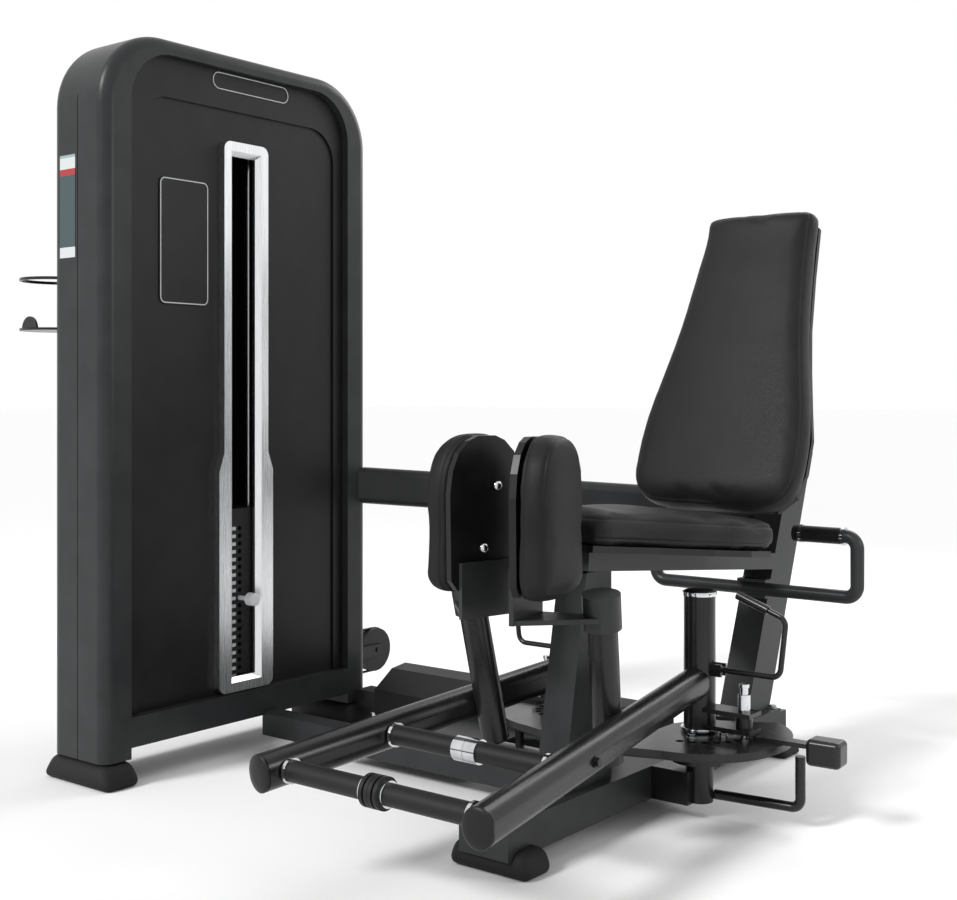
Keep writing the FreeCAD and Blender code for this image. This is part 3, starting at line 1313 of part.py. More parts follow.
def pad_board():
    """The black back board of a pad, with two bright bolt heads."""
    half = S.pad_wide / 2 - 12
    sides = [(-0.46, 0.80), (-0.40, 0.97), (0.12, 1.0), (0.26, 0.93), (0.37, 0.76), (0.44, 0.50),
             (0.47, 0.24)]
    outline = [Vec(half * share, 0, S.pad_tall * along) for along, share in sides]
    outline += [Vec(-half * share, 0, S.pad_tall * along) for along, share in reversed(sides)]
    board = polygon_face(outline).extrude(Vec(0, S.board_thick, 0))
    upright = FreeCAD.Rotation(Z_AXIS, 90 + S.pad_turn)
    board.Placement = FreeCAD.Placement(pad_back - pad_normal * seat_gap, upright)
    return board


board_solid = pad_board()
board_back = pad_back - pad_normal * (seat_gap + S.board_thick)
pad_bolts = [
    Part.makeCylinder(7, 5, board_back + pad_along * side + Z_AXIS * up, pad_normal * -1)
    for side, up in ((18, 44), (-12, -58))
]


def pad_bracket():
    """The bracket: a collar on the stem, a plate under the board and the web between them."""
    collar = round_bar(collar_low, collar_low + stem_dir * collar_tall, collar_r)
    plate = Part.makeBox(120, 8, 92, Vec(-60, 0, 0))
    low_z = S.pad_z - S.pad_tall / 2 - 36
    base = Vec(board_back.x, board_back.y, low_z) - pad_normal * seat_gap
    plate.Placement = FreeCAD.Placement(base, FreeCAD.Rotation(Z_AXIS, 90 + S.pad_turn))
    top_mid = collar_low + stem_dir * (collar_tall - 6)
    web = polygon_face([
        base + pad_along * 55, base - pad_along * 55,
        Vec(top_mid.x + 10, top_mid.y - 26, base.z), Vec(top_mid.x + 22, top_mid.y + 20, base.z),
    ])
    web = web.extrude(Z_AXIS * 8)
    spindle = round_bar(stem_head - stem_dir * 5, stem_head + stem_dir * 50.3, 14.05)
    return collar.fuse(web).fuse(plate).cut(spindle)


bracket_solid = pad_bracket()


def range_handle():
    """The bent rod that lifts the range pin: its eye turns between two cheeks on the lever."""
    start = eye_mid + Vec(6, 0, 0)
    points = [start, Vec(284, S.hub_y, eye_mid.z), Vec(296, S.hub_y, 378), Vec(210, S.hub_y, 410)]
    rod_shape = bent_tube(points, 18, 5)
    eye = Part.makeCylinder(9, 12, eye_mid - Y_AXIS * 6, Y_AXIS)
    grip = round_bar(Vec(262, S.hub_y, 390.6), Vec(202, S.hub_y, 413), 8)
    return rod_shape.fuse(eye).fuse(grip).cut(
        Part.makeCylinder(4.05, 40, eye_mid - Y_AXIS * 20, Y_AXIS))


SIDES = (("right", True), ("left", False))
for side, flip in SIDES:
    turn = mirrored if flip else (lambda shape: shape)
    pieces = [
        ("cam", cam_plate().fuse(counterweight())),
        ("lever", lever_solid),
        ("chrome_fittings", Part.makeCompound(peg_metal + [barrel])),
        ("foot_peg_rubbers", Part.makeCompound(peg_rubber)),
        ("pad_stem", stem_solid),
        ("pad_bracket", bracket_solid),
        ("pad_cushion", pad_shape),
        ("pad_board", Part.makeCompound([board_solid] + pad_bolts)),
        ("range_pin", range_pin.fuse(pin_head)),
        ("range_handle", range_handle()),
    ]
    for name, shape in pieces:
        node(feature(f"{name}_{side}", turn(shape)), f"{side}_{name}")

doc.recompute()
problems = [obj.Label for obj in doc.Objects if {"Invalid", "Error"} & set(obj.State)]
for obj in nodes:
    if obj.Shape.isNull() or not obj.Shape.isValid():
        problems.append(obj.Label)
if problems:
    raise SystemExit("these objects failed: " + ", ".join(problems))

for obj in nodes:
    obj.Shape.exportStep(f"parts/{obj.Label}.step")
whole = Part.makeCompound([obj.Shape for obj in nodes]).BoundBox
print(len(nodes), "sub-parts,", sum(len(obj.Shape.Solids) for obj in nodes), "solids")
print("size", round(whole.XLength), round(whole.YLength), round(whole.ZLength))
print("corners", [round(v) for v in (whole.XMin, whole.YMin, whole.ZMin, whole.XMax, whole.YMax, whole.ZMax)])
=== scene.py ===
# %% [markdown]
# # An inner and outer thigh machine
# A steel tower holds a weight stack. Beside it stands a seat with two levers that swing outwards.
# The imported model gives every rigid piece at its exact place. This lesson dresses it: it gives each
# piece its finish, and remakes the four cushions and the small fittings that a plain solid lacks.

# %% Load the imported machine
import json
import math

import bpy
import numpy as np
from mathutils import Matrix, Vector


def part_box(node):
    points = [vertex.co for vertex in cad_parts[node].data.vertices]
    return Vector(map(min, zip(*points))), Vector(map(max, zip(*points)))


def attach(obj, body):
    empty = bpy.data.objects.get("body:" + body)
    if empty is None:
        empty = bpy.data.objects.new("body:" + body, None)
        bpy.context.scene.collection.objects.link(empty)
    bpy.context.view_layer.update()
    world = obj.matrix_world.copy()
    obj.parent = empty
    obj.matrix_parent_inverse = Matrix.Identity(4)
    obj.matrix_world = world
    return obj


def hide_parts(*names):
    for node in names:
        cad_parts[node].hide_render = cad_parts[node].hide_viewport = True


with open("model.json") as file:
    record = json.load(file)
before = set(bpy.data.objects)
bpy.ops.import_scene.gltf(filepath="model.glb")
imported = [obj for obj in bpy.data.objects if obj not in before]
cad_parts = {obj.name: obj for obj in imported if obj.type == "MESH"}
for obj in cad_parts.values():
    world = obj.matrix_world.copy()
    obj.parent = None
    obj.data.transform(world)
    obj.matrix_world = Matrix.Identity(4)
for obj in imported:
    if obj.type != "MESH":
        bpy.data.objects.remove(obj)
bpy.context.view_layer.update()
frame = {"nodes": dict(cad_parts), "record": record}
nodes = frame["nodes"]
print("pieces from the model:", len(nodes))


def deselect():
    """Leaves nothing selected, so that an operator acts only on what is chosen next."""
    if bpy.context.object and bpy.context.object.mode != "OBJECT":
        bpy.ops.object.mode_set(mode="OBJECT")
    bpy.ops.object.select_all(action="DESELECT")


def choose(piece):
    """Selects one piece and makes it active."""
    deselect()
    piece.select_set(True)
    bpy.context.view_layer.objects.active = piece
    return piece


def settle(piece, name, body):
    """Names a finished piece, puts its place into its mesh and lets it ride on a body."""
    choose(piece)
    bpy.ops.object.transform_apply(location=True, rotation=True, scale=True)
    piece.name = name
    piece.data.name = name
    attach(piece, body)
    return piece


def finish_modifier(piece, kind, **settings):
    """Adds a modifier with its settings and applies it to the mesh."""
    choose(piece)
    modifier = piece.modifiers.new(kind.title(), kind)
    for key, value in settings.items():
        setattr(modifier, key, value)
    bpy.ops.object.modifier_apply(modifier=modifier.name)


# %% [markdown]
# ## The camera
# The tower's and the levers' edges meet at vanishing points, and these give the lens and the place
# of the camera: 0.77 m above the floor, level, and turned 38 degrees from the seat's centre plane.
# The picture's middle lies a little below the horizon, which is a small shift of the lens.

# %% Camera
PHOTO_WIDE, FOCAL, HORIZON_SHIFT = 957, 1354, -56  # pixels
SENSOR_WIDE = 36  # millimetres
CAMERA_PLACE, CAMERA_TURN = (1.3366, -1.7615, 0.774), math.radians(38.1)
bpy.ops.object.camera_add(location=CAMERA_PLACE, rotation=(math.radians(90), 0, CAMERA_TURN))
camera = bpy.context.object
camera.data.sensor_width = SENSOR_WIDE
camera.data.lens = FOCAL / PHOTO_WIDE * SENSOR_WIDE
camera.data.shift_y = HORIZON_SHIFT / PHOTO_WIDE
bpy.context.scene.camera = camera
bpy.context.scene.view_settings.view_transform = "Standard"
print("lens", round(camera.data.lens, 1), "mm")


# %% [markdown]
# ## How materials are written
# Every finish is a small tree of nodes. One function turns the colour on a swatch card, a hex value,
# into linear light. Another adds a node with its settings and its links.

# %% Helpers for materials
def swatch(code):
    """A linear colour from an sRGB hex value."""
    parts = [int(code[i:i + 2], 16) / 255 for i in (1, 3, 5)]
    linear = [c / 12.92 if c <= 0.04045 else ((c + 0.055) / 1.055) ** 2.4 for c in parts]
    return (*linear, 1)


def add_node(tree, kind, settings=None, links=None):
    """Adds a node, sets its values or properties, and joins its inputs to other sockets."""
    made = tree.nodes.new(kind)
    for key, value in (settings or {}).items():
        if isinstance(key, int) or key in made.inputs:
            made.inputs[key].default_value = value
        else:
            setattr(made, key, value)
    for key, socket in (links or {}).items():
        tree.links.new(socket, made.inputs[key])
    return made


def new_surface(name, **shader):
    """A material with a Principled shader, and its place in object space."""
    material = bpy.data.materials.new(name)
    material.use_nodes = True
    tree = material.node_tree
    tree.nodes.clear()
    output = add_node(tree, "ShaderNodeOutputMaterial")
    settings = {key.replace("_", " "): value for key, value in shader.items()}
    body = add_node(tree, "ShaderNodeBsdfPrincipled", settings)
    tree.links.new(body.outputs["BSDF"], output.inputs["Surface"])
    place = add_node(tree, "ShaderNodeTexCoord").outputs["Object"]
    return material, tree, body, place


def grain(tree, place, size_mm, detail=3.0, rough=0.55):
    """Cloudy noise whose patches are about size_mm across."""
    return add_node(
        tree, "ShaderNodeTexNoise",
        {"Scale": 1000 / size_mm, "Detail": detail, "Roughness": rough},
        {"Vector": place}).outputs["Fac"]


def spread(tree, value, low, high, start=0.0, end=1.0):
    """Maps a value from start..end to low..high."""
    return add_node(
        tree, "ShaderNodeMapRange",
        {"From Min": start, "From Max": end, "To Min": low, "To Max": high},
        {"Value": value}).outputs["Result"]


def two_tone(tree, value, first, last, start=0.3, end=0.7):
    """Blends two swatches by a value."""
    ramp = add_node(tree, "ShaderNodeValToRGB", links={"Fac": value})
    ramp.color_ramp.elements[0].position = start
    ramp.color_ramp.elements[0].color = swatch(first)
    ramp.color_ramp.elements[1].position = end
    ramp.color_ramp.elements[1].color = swatch(last)
    return ramp.outputs["Color"]


def relief(tree, body, height, depth_mm, strength=1.0):
    """Raises the surface by a height pattern, depth_mm from its lowest to its highest."""
    bump = add_node(
        tree, "ShaderNodeBump", {"Distance": depth_mm / 1000, "Strength": strength},
        {"Height": height})
    tree.links.new(bump.outputs["Normal"], body.inputs["Normal"])
    return bump


# %% [markdown]
# ## Powder coat
# The tower, the beams and the levers are welded steel, dusted with dry paint and baked. The paint
# melts into a tough skin with a faint orange peel, a few tenths of a millimetre high and 2-3 mm wide.
# Cloudy noise shifts its tone and gloss a little. The same recipe serves each colour.

# %% Powder-coated steel
def powder_coat(name, dark, light, gloss, shine, peel_mm=2.4):
    material, tree, body, place = new_surface(name, Metallic=0.0, IOR=1.5)
    body.inputs["Specular IOR Level"].default_value = shine
    cloud = grain(tree, place, 60, detail=4)
    peel = grain(tree, place, peel_mm, detail=1.5)
    colour = two_tone(tree, cloud, dark, light)
    tree.links.new(colour, body.inputs["Base Color"])
    tree.links.new(spread(tree, cloud, gloss - 0.05, gloss + 0.06), body.inputs["Roughness"])
    relief(tree, body, peel, 0.12, 0.35)
    return material


finishes = {
    "frame_paint": powder_coat("charcoal_powder_coat", "#28292a", "#303132", 0.34, 0.22),
    "panel_paint": powder_coat("black_textured_powder_coat", "#131314", "#19191a", 0.38, 0.24, 1.6),
    "lever_paint": powder_coat("black_gloss_powder_coat", "#151516", "#1c1c1d", 0.26, 0.36),
    "rail_paint": powder_coat("grey_powder_coat", "#262728", "#2f3031", 0.36, 0.28),
}


# %% [markdown]
# ## Bright metal
# Pegs, collars and pins are chrome-plated tube: nearly a mirror, with hair-fine wiping marks. The
# window frame is extruded aluminium, brushed along its length and anodised. Guide rods are ground
# steel under a film of oil.

# %% Chrome, brushed aluminium and ground steel
def plated_chrome():
    material, tree, body, place = new_surface("polished_chrome_plate", Metallic=1.0)
    smear = grain(tree, place, 25, detail=5)
    tree.links.new(two_tone(tree, smear, "#c2c4c7", "#d6d8da"), body.inputs["Base Color"])
    tree.links.new(spread(tree, smear, 0.07, 0.18), body.inputs["Roughness"])
    return material


def brushed(name, dark, light, low, high, along):
    """Metal with fine lines that run along one axis, 0.6 mm apart so that they show."""
    material, tree, body, place = new_surface(name, Metallic=1.0)
    scale = [1.0, 1.0, 1.0]
    scale["xyz".index(along)] = 0.01
    stretched = add_node(tree, "ShaderNodeMapping", {"Scale": scale}, {"Vector": place}).outputs[0]
    lines = grain(tree, stretched, 0.6, detail=2)
    tree.links.new(two_tone(tree, lines, dark, light), body.inputs["Base Color"])
    tree.links.new(spread(tree, lines, low, high), body.inputs["Roughness"])
    relief(tree, body, lines, 0.02, 0.2)
    return material


finishes["chrome"] = plated_chrome()
finishes["trim_alloy"] = brushed("brushed_anodised_aluminium", "#d3d5d7", "#f0f1f2", 0.22, 0.34, "z")
finishes["rod_steel"] = brushed("ground_steel", "#8d9093", "#b4b7ba", 0.15, 0.25, "z")


# %% [markdown]
# ## Plates, rubber and plastics
# Weight plates are cast iron under black paint, with a sandy skin. Feet and sleeves are moulded
# rubber, matt and slightly dusty. The covers are ABS with a leather-like spark texture from the mould.

# %% Cast iron, rubber and moulded plastic
def moulded(name, dark, light, low, high, grit_mm, depth_mm, ior=1.5):
    """A moulded or cast skin with grit of one size and a cloudy change of tone."""
    material, tree, body, place = new_surface(name, Metallic=0.0, IOR=ior)
    body.inputs["Specular IOR Level"].default_value = 0.28
    cloud = grain(tree, place, 45, detail=5)
    grit = grain(tree, place, grit_mm, detail=2)
    tree.links.new(two_tone(tree, cloud, dark, light), body.inputs["Base Color"])
    tree.links.new(spread(tree, cloud, low, high), body.inputs["Roughness"])
    relief(tree, body, grit, depth_mm, 0.5)
    return material


finishes["plate_iron"] = moulded("painted_cast_iron", "#101011", "#18181a", 0.45, 0.6, 1.5, 0.3)
finishes["foot_rubber"] = moulded("moulded_rubber", "#0d0d0e", "#151516", 0.6, 0.78, 1.8, 0.2, 1.52)
finishes["sleeve_rubber"] = moulded(
    "grained_nitrile_sleeve", "#0b0b0c", "#131314", 0.42, 0.58, 1.2, 0.25, 1.52)
finishes["board_plastic"] = moulded("moulded_abs_shell", "#0b0b0c", "#121213", 0.3, 0.42, 1.4, 0.12)
finishes["cover_plastic"] = moulded("textured_abs_cover", "#171718", "#1f1f20", 0.45, 0.6, 1.6, 0.25)
finishes["pulley_nylon"] = moulded("turned_nylon", "#1c1d1f", "#26272a", 0.35, 0.45, 2.0, 0.1, 1.53)
finishes["cable_coat"] = moulded("nylon_coated_cable", "#101011", "#181819", 0.22, 0.34, 1.0, 0.1, 1.53)
finishes["plate_trim"] = moulded("pale_printed_film", "#b4b7ba", "#c6c9cb", 0.35, 0.45, 3.0, 0.03)
finishes["knob_plastic"] = moulded("pale_glossy_abs", "#c9cdd0", "#dde0e2", 0.12, 0.22, 4.0, 0.03)


# %% [markdown]
# ## Upholstery
# The cushions are covered in PU leather: black, with pebbles 1-2 mm across divided by thin creases,
# and a soft sheen where the skin turns away. Cells of a Voronoi pattern make the pebbles.

# %% Grained PU leather
def pu_leather():
    material, tree, body, place = new_surface("grained_pu_leather", Metallic=0.0, IOR=1.48)
    body.inputs["Specular IOR Level"].default_value = 0.2
    body.inputs["Sheen Weight"].default_value = 0.01
    body.inputs["Sheen Roughness"].default_value = 0.45
    cloud = grain(tree, place, 80, detail=4)
    warp = grain(tree, place, 6, detail=2)
    shift = add_node(
        tree, "ShaderNodeVectorMath", {"operation": "MULTIPLY_ADD", 1: (0.002, 0.002, 0.002)})
    tree.links.new(warp, shift.inputs[0])
    tree.links.new(place, shift.inputs[2])
    pebbles = add_node(
        tree, "ShaderNodeTexVoronoi", {"feature": "DISTANCE_TO_EDGE", "Scale": 1000 / 2.0},
        {"Vector": shift.outputs[0]}).outputs["Distance"]
    creases = spread(tree, pebbles, 0.0, 1.0, 0.0, 0.22)
    tree.links.new(two_tone(tree, cloud, "#111112", "#18181a"), body.inputs["Base Color"])
    tree.links.new(spread(tree, creases, 0.62, 0.40), body.inputs["Roughness"])
    relief(tree, body, creases, 0.25, 0.45)
    return material


finishes["upholstery"] = pu_leather()


# %% [markdown]
# ## The side label
# A printed film on the tower's narrow side. It stays generic: a muted teal field between two pale
# bands with one red line, and no words. The bands are shares of its height, so Z alone colours it.

# %% Printed label film
def label_film():
    material, tree, body, place = new_surface("printed_label_film", Roughness=0.35, IOR=1.5)
    height = add_node(tree, "ShaderNodeSeparateXYZ", links={"Vector": place}).outputs["Z"]
    share = spread(tree, height, 0.0, 1.0, *[corner[2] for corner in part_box("side_label")])
    ramp = add_node(tree, "ShaderNodeValToRGB", links={"Fac": share})
    bands = ramp.color_ramp
    bands.interpolation = "CONSTANT"
    bands.elements[0].color = swatch("#c9cccd")
    bands.elements[1].position = 0.10
    bands.elements[1].color = swatch("#33464b")
    for position, code in ((0.80, "#a3262b"), (0.86, "#c9cccd"), (0.97, "#8fa3a7")):
        bands.elements.new(position).color = swatch(code)
    tree.links.new(ramp.outputs["Color"], body.inputs["Base Color"])
    return material


finishes["label_film"] = label_film()


# %% Give every piece of the model its finish
slot_of = {row["node"]: row["material_slot"] for row in frame["record"]["subparts"]}
for name, piece in nodes.items():
    piece.data.materials.clear()
    piece.data.materials.append(finishes[slot_of[name]])
print("finishes in use:", len(set(slot_of.values())))


# %% [markdown]
# ## Cushions
# Each cushion is foam on a board, pulled tight by its cover. Its CAD solid has the outline and the
# crown. The solid's copy is remeshed to an even net, blown up a little by Blender's Cloth with
# pressure, as foam fills a cover, and held to a few millimetres of movement. A smoothing takes out
# the folds that the pressure leaves. Seams are then sunk round the side, where the cover's face is
# sewn to its border.

# %% Helpers for cushions
def vertex_table(piece):
    """The piece's vertices as a table of places and one of normals."""
    count = len(piece.data.vertices)
    places, normals = np.empty(count * 3), np.empty(count * 3)
    piece.data.vertices.foreach_get("co", places)
    piece.data.vertices.foreach_get("normal", normals)
    return places.reshape(-1, 3), normals.reshape(-1, 3)


def move_vertices(piece, places):
    """Writes a table of places back to the piece."""
    piece.data.vertices.foreach_set("co", places.ravel())
    piece.data.update()


def even_net(node, voxel, shrink):
    """A closed, even copy of a CAD solid, shrunk a little so that it can swell back."""
    choose(nodes[node])
    bpy.ops.object.duplicate()
    piece = bpy.context.object
    world = piece.matrix_world.copy()
    piece.parent = None
    piece.matrix_world = world
    choose(piece)
    bpy.ops.object.transform_apply(location=True, rotation=True, scale=True)
    bpy.ops.object.mode_set(mode="EDIT")
    bpy.ops.mesh.select_all(action="SELECT")
    bpy.ops.mesh.remove_doubles(threshold=0.00002)
    bpy.ops.mesh.normals_make_consistent(inside=False)
    bpy.ops.object.mode_set(mode="OBJECT")
    finish_modifier(piece, "REMESH", mode="VOXEL", voxel_size=voxel, use_smooth_shade=True)
    finish_modifier(piece, "SMOOTH", factor=0.5, iterations=3)
    places, normals = vertex_table(piece)
    move_vertices(piece, places - normals * shrink)
    return piece


def inflate(piece, pressure, most):
    """Fills the cover like foam. No point moves further than most."""
    before, _ = vertex_table(piece)
    choose(piece)
    cloth = piece.modifiers.new("Foam", "CLOTH")
    cloth.settings.quality = 5
    cloth.settings.mass = 0.4
    cloth.settings.use_pressure = True
    cloth.settings.uniform_pressure_force = pressure
    cloth.settings.effector_weights.gravity = 0
    cloth.collision_settings.use_collision = False
    for step in range(1, 21):
        bpy.context.scene.frame_set(step)
    bpy.ops.object.modifier_apply(modifier=cloth.name)
    bpy.context.scene.frame_set(1)
    after, _ = vertex_table(piece)
    travel = after - before
    length = np.linalg.norm(travel, axis=1, keepdims=True)
    move_vertices(piece, before + travel * np.minimum(1, most / np.maximum(length, 1e-9)))
    return float(length.max())


def sew_round(piece, back, out, depth, sink, width=0.0022):
    """Sinks a seam round the cushion's side, depth in front of the plane through back."""
    places, normals = vertex_table(piece)
    height = (places - np.array(back)) @ np.array(out)
    sideways = 1 - np.abs(normals @ np.array(out))
    pull = sink * np.exp(-((height - depth) / width) ** 2) * np.clip(sideways * 1.6, 0, 1)
    move_vertices(piece, places - normals * pull[:, None])


def flatten_back(piece, back, out):
    """Keeps the cushion's back on its board."""
    places, _ = vertex_table(piece)
    height = (places - np.array(back)) @ np.array(out)
    behind = np.minimum(height, 0)
    move_vertices(piece, places - behind[:, None] * np.array(out))


def upholster(node, name, body, back, out, seam_depths, voxel=0.005, shrink=0.004, most=0.006):
    """Makes one finished cushion in place of its CAD solid."""
    piece = even_net(node, voxel, shrink)
    print(name, "moved", round(inflate(piece, 4.0, most) * 1000, 1), "mm at most")
    finish_modifier(piece, "SMOOTH", factor=0.5, iterations=8)
    flatten_back(piece, back, out)
    finish_modifier(piece, "SUBSURF", levels=1, render_levels=1)
    for depth in seam_depths:
        sew_round(piece, back, out, depth, 0.0022)
    piece.data.materials.clear()
    piece.data.materials.append(finishes["upholstery"])
    choose(piece)
    bpy.ops.object.shade_smooth()
    settle(piece, name, body)
    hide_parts(node)
    return piece


# %% Seat and backrest
LEAN = math.radians(21.8)
TILT = math.radians(5.5)
BACKREST_FOOT, BACKREST_THICK = Vector((0, 0.668, 0.546)), 0.080
SEAT_UNDERSIDE = Vector((0, 0.152, 0.518))
back_out = Vector((0, -math.cos(LEAN), math.sin(LEAN)))
back_plane = BACKREST_FOOT - back_out * BACKREST_THICK
upholster("backrest_cushion", "backrest", "backrest", back_plane, back_out, (0.016, 0.058),
          voxel=0.0065)

seat_out = Vector((0, math.sin(TILT), math.cos(TILT)))
upholster("seat_cushion", "seat", "frame", SEAT_UNDERSIDE, seat_out, (0.012, 0.046))

# %% Thigh pads
SIDES = (("left", 1), ("right", -1))
PAD_TURN, PAD_THICK = math.radians(12.5), 0.062
PAD_X, PAD_Y, PAD_Z = 0.085, 0.030, 0.577


def pad_stance(sign):
    """The middle of one side's pad, and the way that its soft face points."""
    facing = Vector((sign * math.cos(PAD_TURN), math.sin(PAD_TURN), 0))
    return Vector((sign * PAD_X, PAD_Y, PAD_Z)), facing


for side, sign in SIDES:
    pad_middle, pad_out = pad_stance(sign)
    upholster(f"{side}_pad_cushion", f"{side}_thigh_pad", f"{side}_pad_body",
              pad_middle - pad_out * (PAD_THICK / 2), pad_out, (0.012, 0.046), most=0.004)


# %% [markdown]
# ## Small fittings
# Solids from the model are plain where a real machine has caps, bolts and bright collars. These are
# pressed, turned or moulded pieces, so each starts as a primitive of its real size. Its faces are then
# inset, pushed and bevelled in edit mode, as its die or lathe would shape it.

# %% Helpers for fittings
def edit_faces(piece, test):
    """Opens edit mode with the faces that pass the test selected."""
    choose(piece)
    bpy.ops.object.mode_set(mode="EDIT")
    bpy.ops.mesh.select_mode(type="FACE")
    bpy.ops.mesh.select_all(action="DESELECT")
    bpy.ops.object.mode_set(mode="OBJECT")
    for face in piece.data.polygons:
        face.select = test(face)
    bpy.ops.object.mode_set(mode="EDIT")


def close_edit(piece):
    """Leaves edit mode with every face pointing outwards."""
    bpy.ops.mesh.select_all(action="SELECT")
    bpy.ops.mesh.normals_make_consistent(inside=False)
    bpy.ops.object.mode_set(mode="OBJECT")
    return piece


def dress(piece, slot):
    """Gives a piece the finish of a material slot."""
    piece.data.materials.clear()
    piece.data.materials.append(finishes[slot])
    return piece


def aim(piece, place, direction):
    """Stands a piece that was made along +Z at a place, pointing along a direction."""
    piece.location = Vector(place)
    piece.rotation_euler = Vector(direction).to_track_quat("Z", "Y").to_euler()
    return piece


def copies(first, spots, name, body, slot):
    """Copies a fitting to spots, each a place and a direction, and joins them to one piece."""
    made = []
    for place, direction in spots:
        choose(first)
        bpy.ops.object.duplicate(linked=False)
        made.append(aim(bpy.context.object, place, direction))
    deselect()
    for piece in made:
        piece.select_set(True)
    bpy.context.view_layer.objects.active = made[0]
    if len(made) > 1:
        bpy.ops.object.join()
    piece = bpy.context.object
    dress(piece, slot)
    return settle(piece, name, body)


def is_top(face):
    return face.normal.z > 0.9


WASHER_THICK, WASHER_GRIP = 0.0016, 0.0015


def hex_bolt(across, head):
    """A hexagon head on its washer, made along +Z, with a chamfered crown."""
    bpy.ops.mesh.primitive_cylinder_add(
        vertices=6, radius=across / 2 / math.cos(math.pi / 6), depth=head,
        location=(0, 0, head / 2 + WASHER_GRIP))
    bolt = bpy.context.object
    edit_faces(bolt, is_top)
    bpy.ops.mesh.inset(thickness=across * 0.07, depth=head * 0.12)
    close_edit(bolt)
    finish_modifier(bolt, "BEVEL", width=across * 0.03, segments=2)
    bpy.ops.mesh.primitive_cylinder_add(
        vertices=28, radius=across * 0.72, depth=WASHER_THICK, location=(0, 0, WASHER_THICK / 2))
    washer = bpy.context.object
    finish_modifier(washer, "BEVEL", width=0.0004, segments=2)
    bolt.select_set(True)
    bpy.ops.object.join()
    whole = bpy.context.object
    choose(whole)
    bpy.ops.object.transform_apply(location=True, rotation=True, scale=True)
    return whole


def domed_cap(wide, tall, thick, dome):
    """An oval plastic plug, made along +Z, with a soft rim and a shallow dome."""
    bpy.ops.mesh.primitive_cylinder_add(vertices=56, radius=0.5, depth=thick, location=(0, 0, thick / 2))
    cap = bpy.context.object
    cap.scale = (wide, tall, 1)
    choose(cap)
    bpy.ops.object.transform_apply(location=True, rotation=True, scale=True)
    edit_faces(cap, is_top)
    for share, rise in ((0.10, 0.45), (0.14, 0.30), (0.10, 0.10)):
        bpy.ops.mesh.inset(thickness=min(wide, tall) * share, depth=dome * rise)
    close_edit(cap)
    finish_modifier(cap, "BEVEL", width=0.0012, segments=2, limit_method="ANGLE")
    choose(cap)
    bpy.ops.object.shade_smooth_by_angle(angle=math.radians(40))
    return cap


def turned_ring(outer, inner, tall, edge):
    """A lathe-turned ring along +Z with rounded edges."""
    bpy.ops.mesh.primitive_cylinder_add(vertices=64, radius=outer, depth=tall, end_fill_type="NOTHING")
    ring = bpy.context.object
    finish_modifier(ring, "SOLIDIFY", thickness=outer - inner, offset=-1)
    finish_modifier(ring, "BEVEL", width=edge, segments=3, limit_method="ANGLE")
    choose(ring)
    bpy.ops.object.shade_smooth_by_angle(angle=math.radians(40))
    return ring


def discard(piece):
    """Removes the pattern that copies were made from."""
    choose(piece)
    bpy.ops.object.delete()


# %% [markdown]
# ## Lever caps and bolts
# Each open tube end is closed by a pressed-in plug, and each bolted joint shows a hexagon head. A
# bolt is modelled once and copied to its places, so all heads share one size as on the real frame.

# %% Lever end caps
LEVER_FRONT = Vector((0.213, -0.328, 0.190))
LEVER_BACK = Vector((0.125, 0.440, 0.250))
for side, sign in SIDES:
    mirror = Vector((sign, 1, 1))
    front, back = LEVER_FRONT * mirror, LEVER_BACK * mirror
    outwards = (front - back).normalized()
    plug = domed_cap(0.051, 0.061, 0.004, 0.004)
    aim(plug, front + outwards * 0.0001, outwards)
    dress(plug, "board_plastic")
    settle(plug, f"{side}_lever_cap", f"{side}_lever_body")

# %% Hexagon bolts
small_bolt = hex_bolt(0.013, 0.0055)
up = (0, 0, 1)
FRAME_BOLT_Z, CAM_BOLT_Z, CAM_BOLT_RING = 0.098, 0.158, 0.058
LEVER_BOLT_ALONG, LEVER_BOLT_OUT = 0.30, 0.0252
HUB_X, HUB_Y = 0.125, 0.440
frame_spots = [((x, y, FRAME_BOLT_Z), up) for x in (-0.037, 0.037) for y in (0.793, 0.923)]
copies(small_bolt, frame_spots, "frame_bolts", "frame", "rod_steel")
for side, sign in SIDES:
    spots = []
    for angle in (-75, -15, 35):
        x = sign * (HUB_X + CAM_BOLT_RING * math.cos(math.radians(angle)))
        spots.append(((x, HUB_Y + CAM_BOLT_RING * math.sin(math.radians(angle)), CAM_BOLT_Z), up))
    copies(small_bolt, spots, f"{side}_cam_bolts", f"{side}_cam_body", "rod_steel")
    along = (LEVER_BACK - LEVER_FRONT).normalized()
    spot = LEVER_FRONT + along * LEVER_BOLT_ALONG
    outward = along.cross(Vector((0, 0, 1))).normalized()
    mirror = Vector((sign, 1, 1))
    spot = (spot + outward * LEVER_BOLT_OUT) * mirror
    copies(small_bolt, [(spot, outward * mirror)], f"{side}_lever_bolt", f"{side}_lever_body",
           "board_plastic")
discard(small_bolt)

# %% Domed bolts on the pads' boards
BOARD_THICK, BOLT_SINK = 0.0123, 0.0048
domed_bolt = domed_cap(0.017, 0.017, 0.003, 0.006)
for side, sign in SIDES:
    pad_middle, pad_out = pad_stance(sign)
    inward = -pad_out
    across = Vector((0, 0, 1)).cross(pad_out) * sign
    back = pad_middle + inward * (PAD_THICK / 2 + BOARD_THICK + BOLT_SINK)
    spots = [(back + across * aside + Vector((0, 0, rise)), inward)
             for aside, rise in ((0.018, 0.044), (-0.012, -0.058))]
    copies(domed_bolt, spots, f"{side}_pad_bolts", f"{side}_pad_body", "chrome")
discard(domed_bolt)

# %% [markdown]
# ## Pivot tops
# Each pivot tube ends in a bright collar with a black plug in it, and stands on a bright thrust ring.
# Both rings are turned steel, plated. Each starts as a short open cylinder that is given a wall.

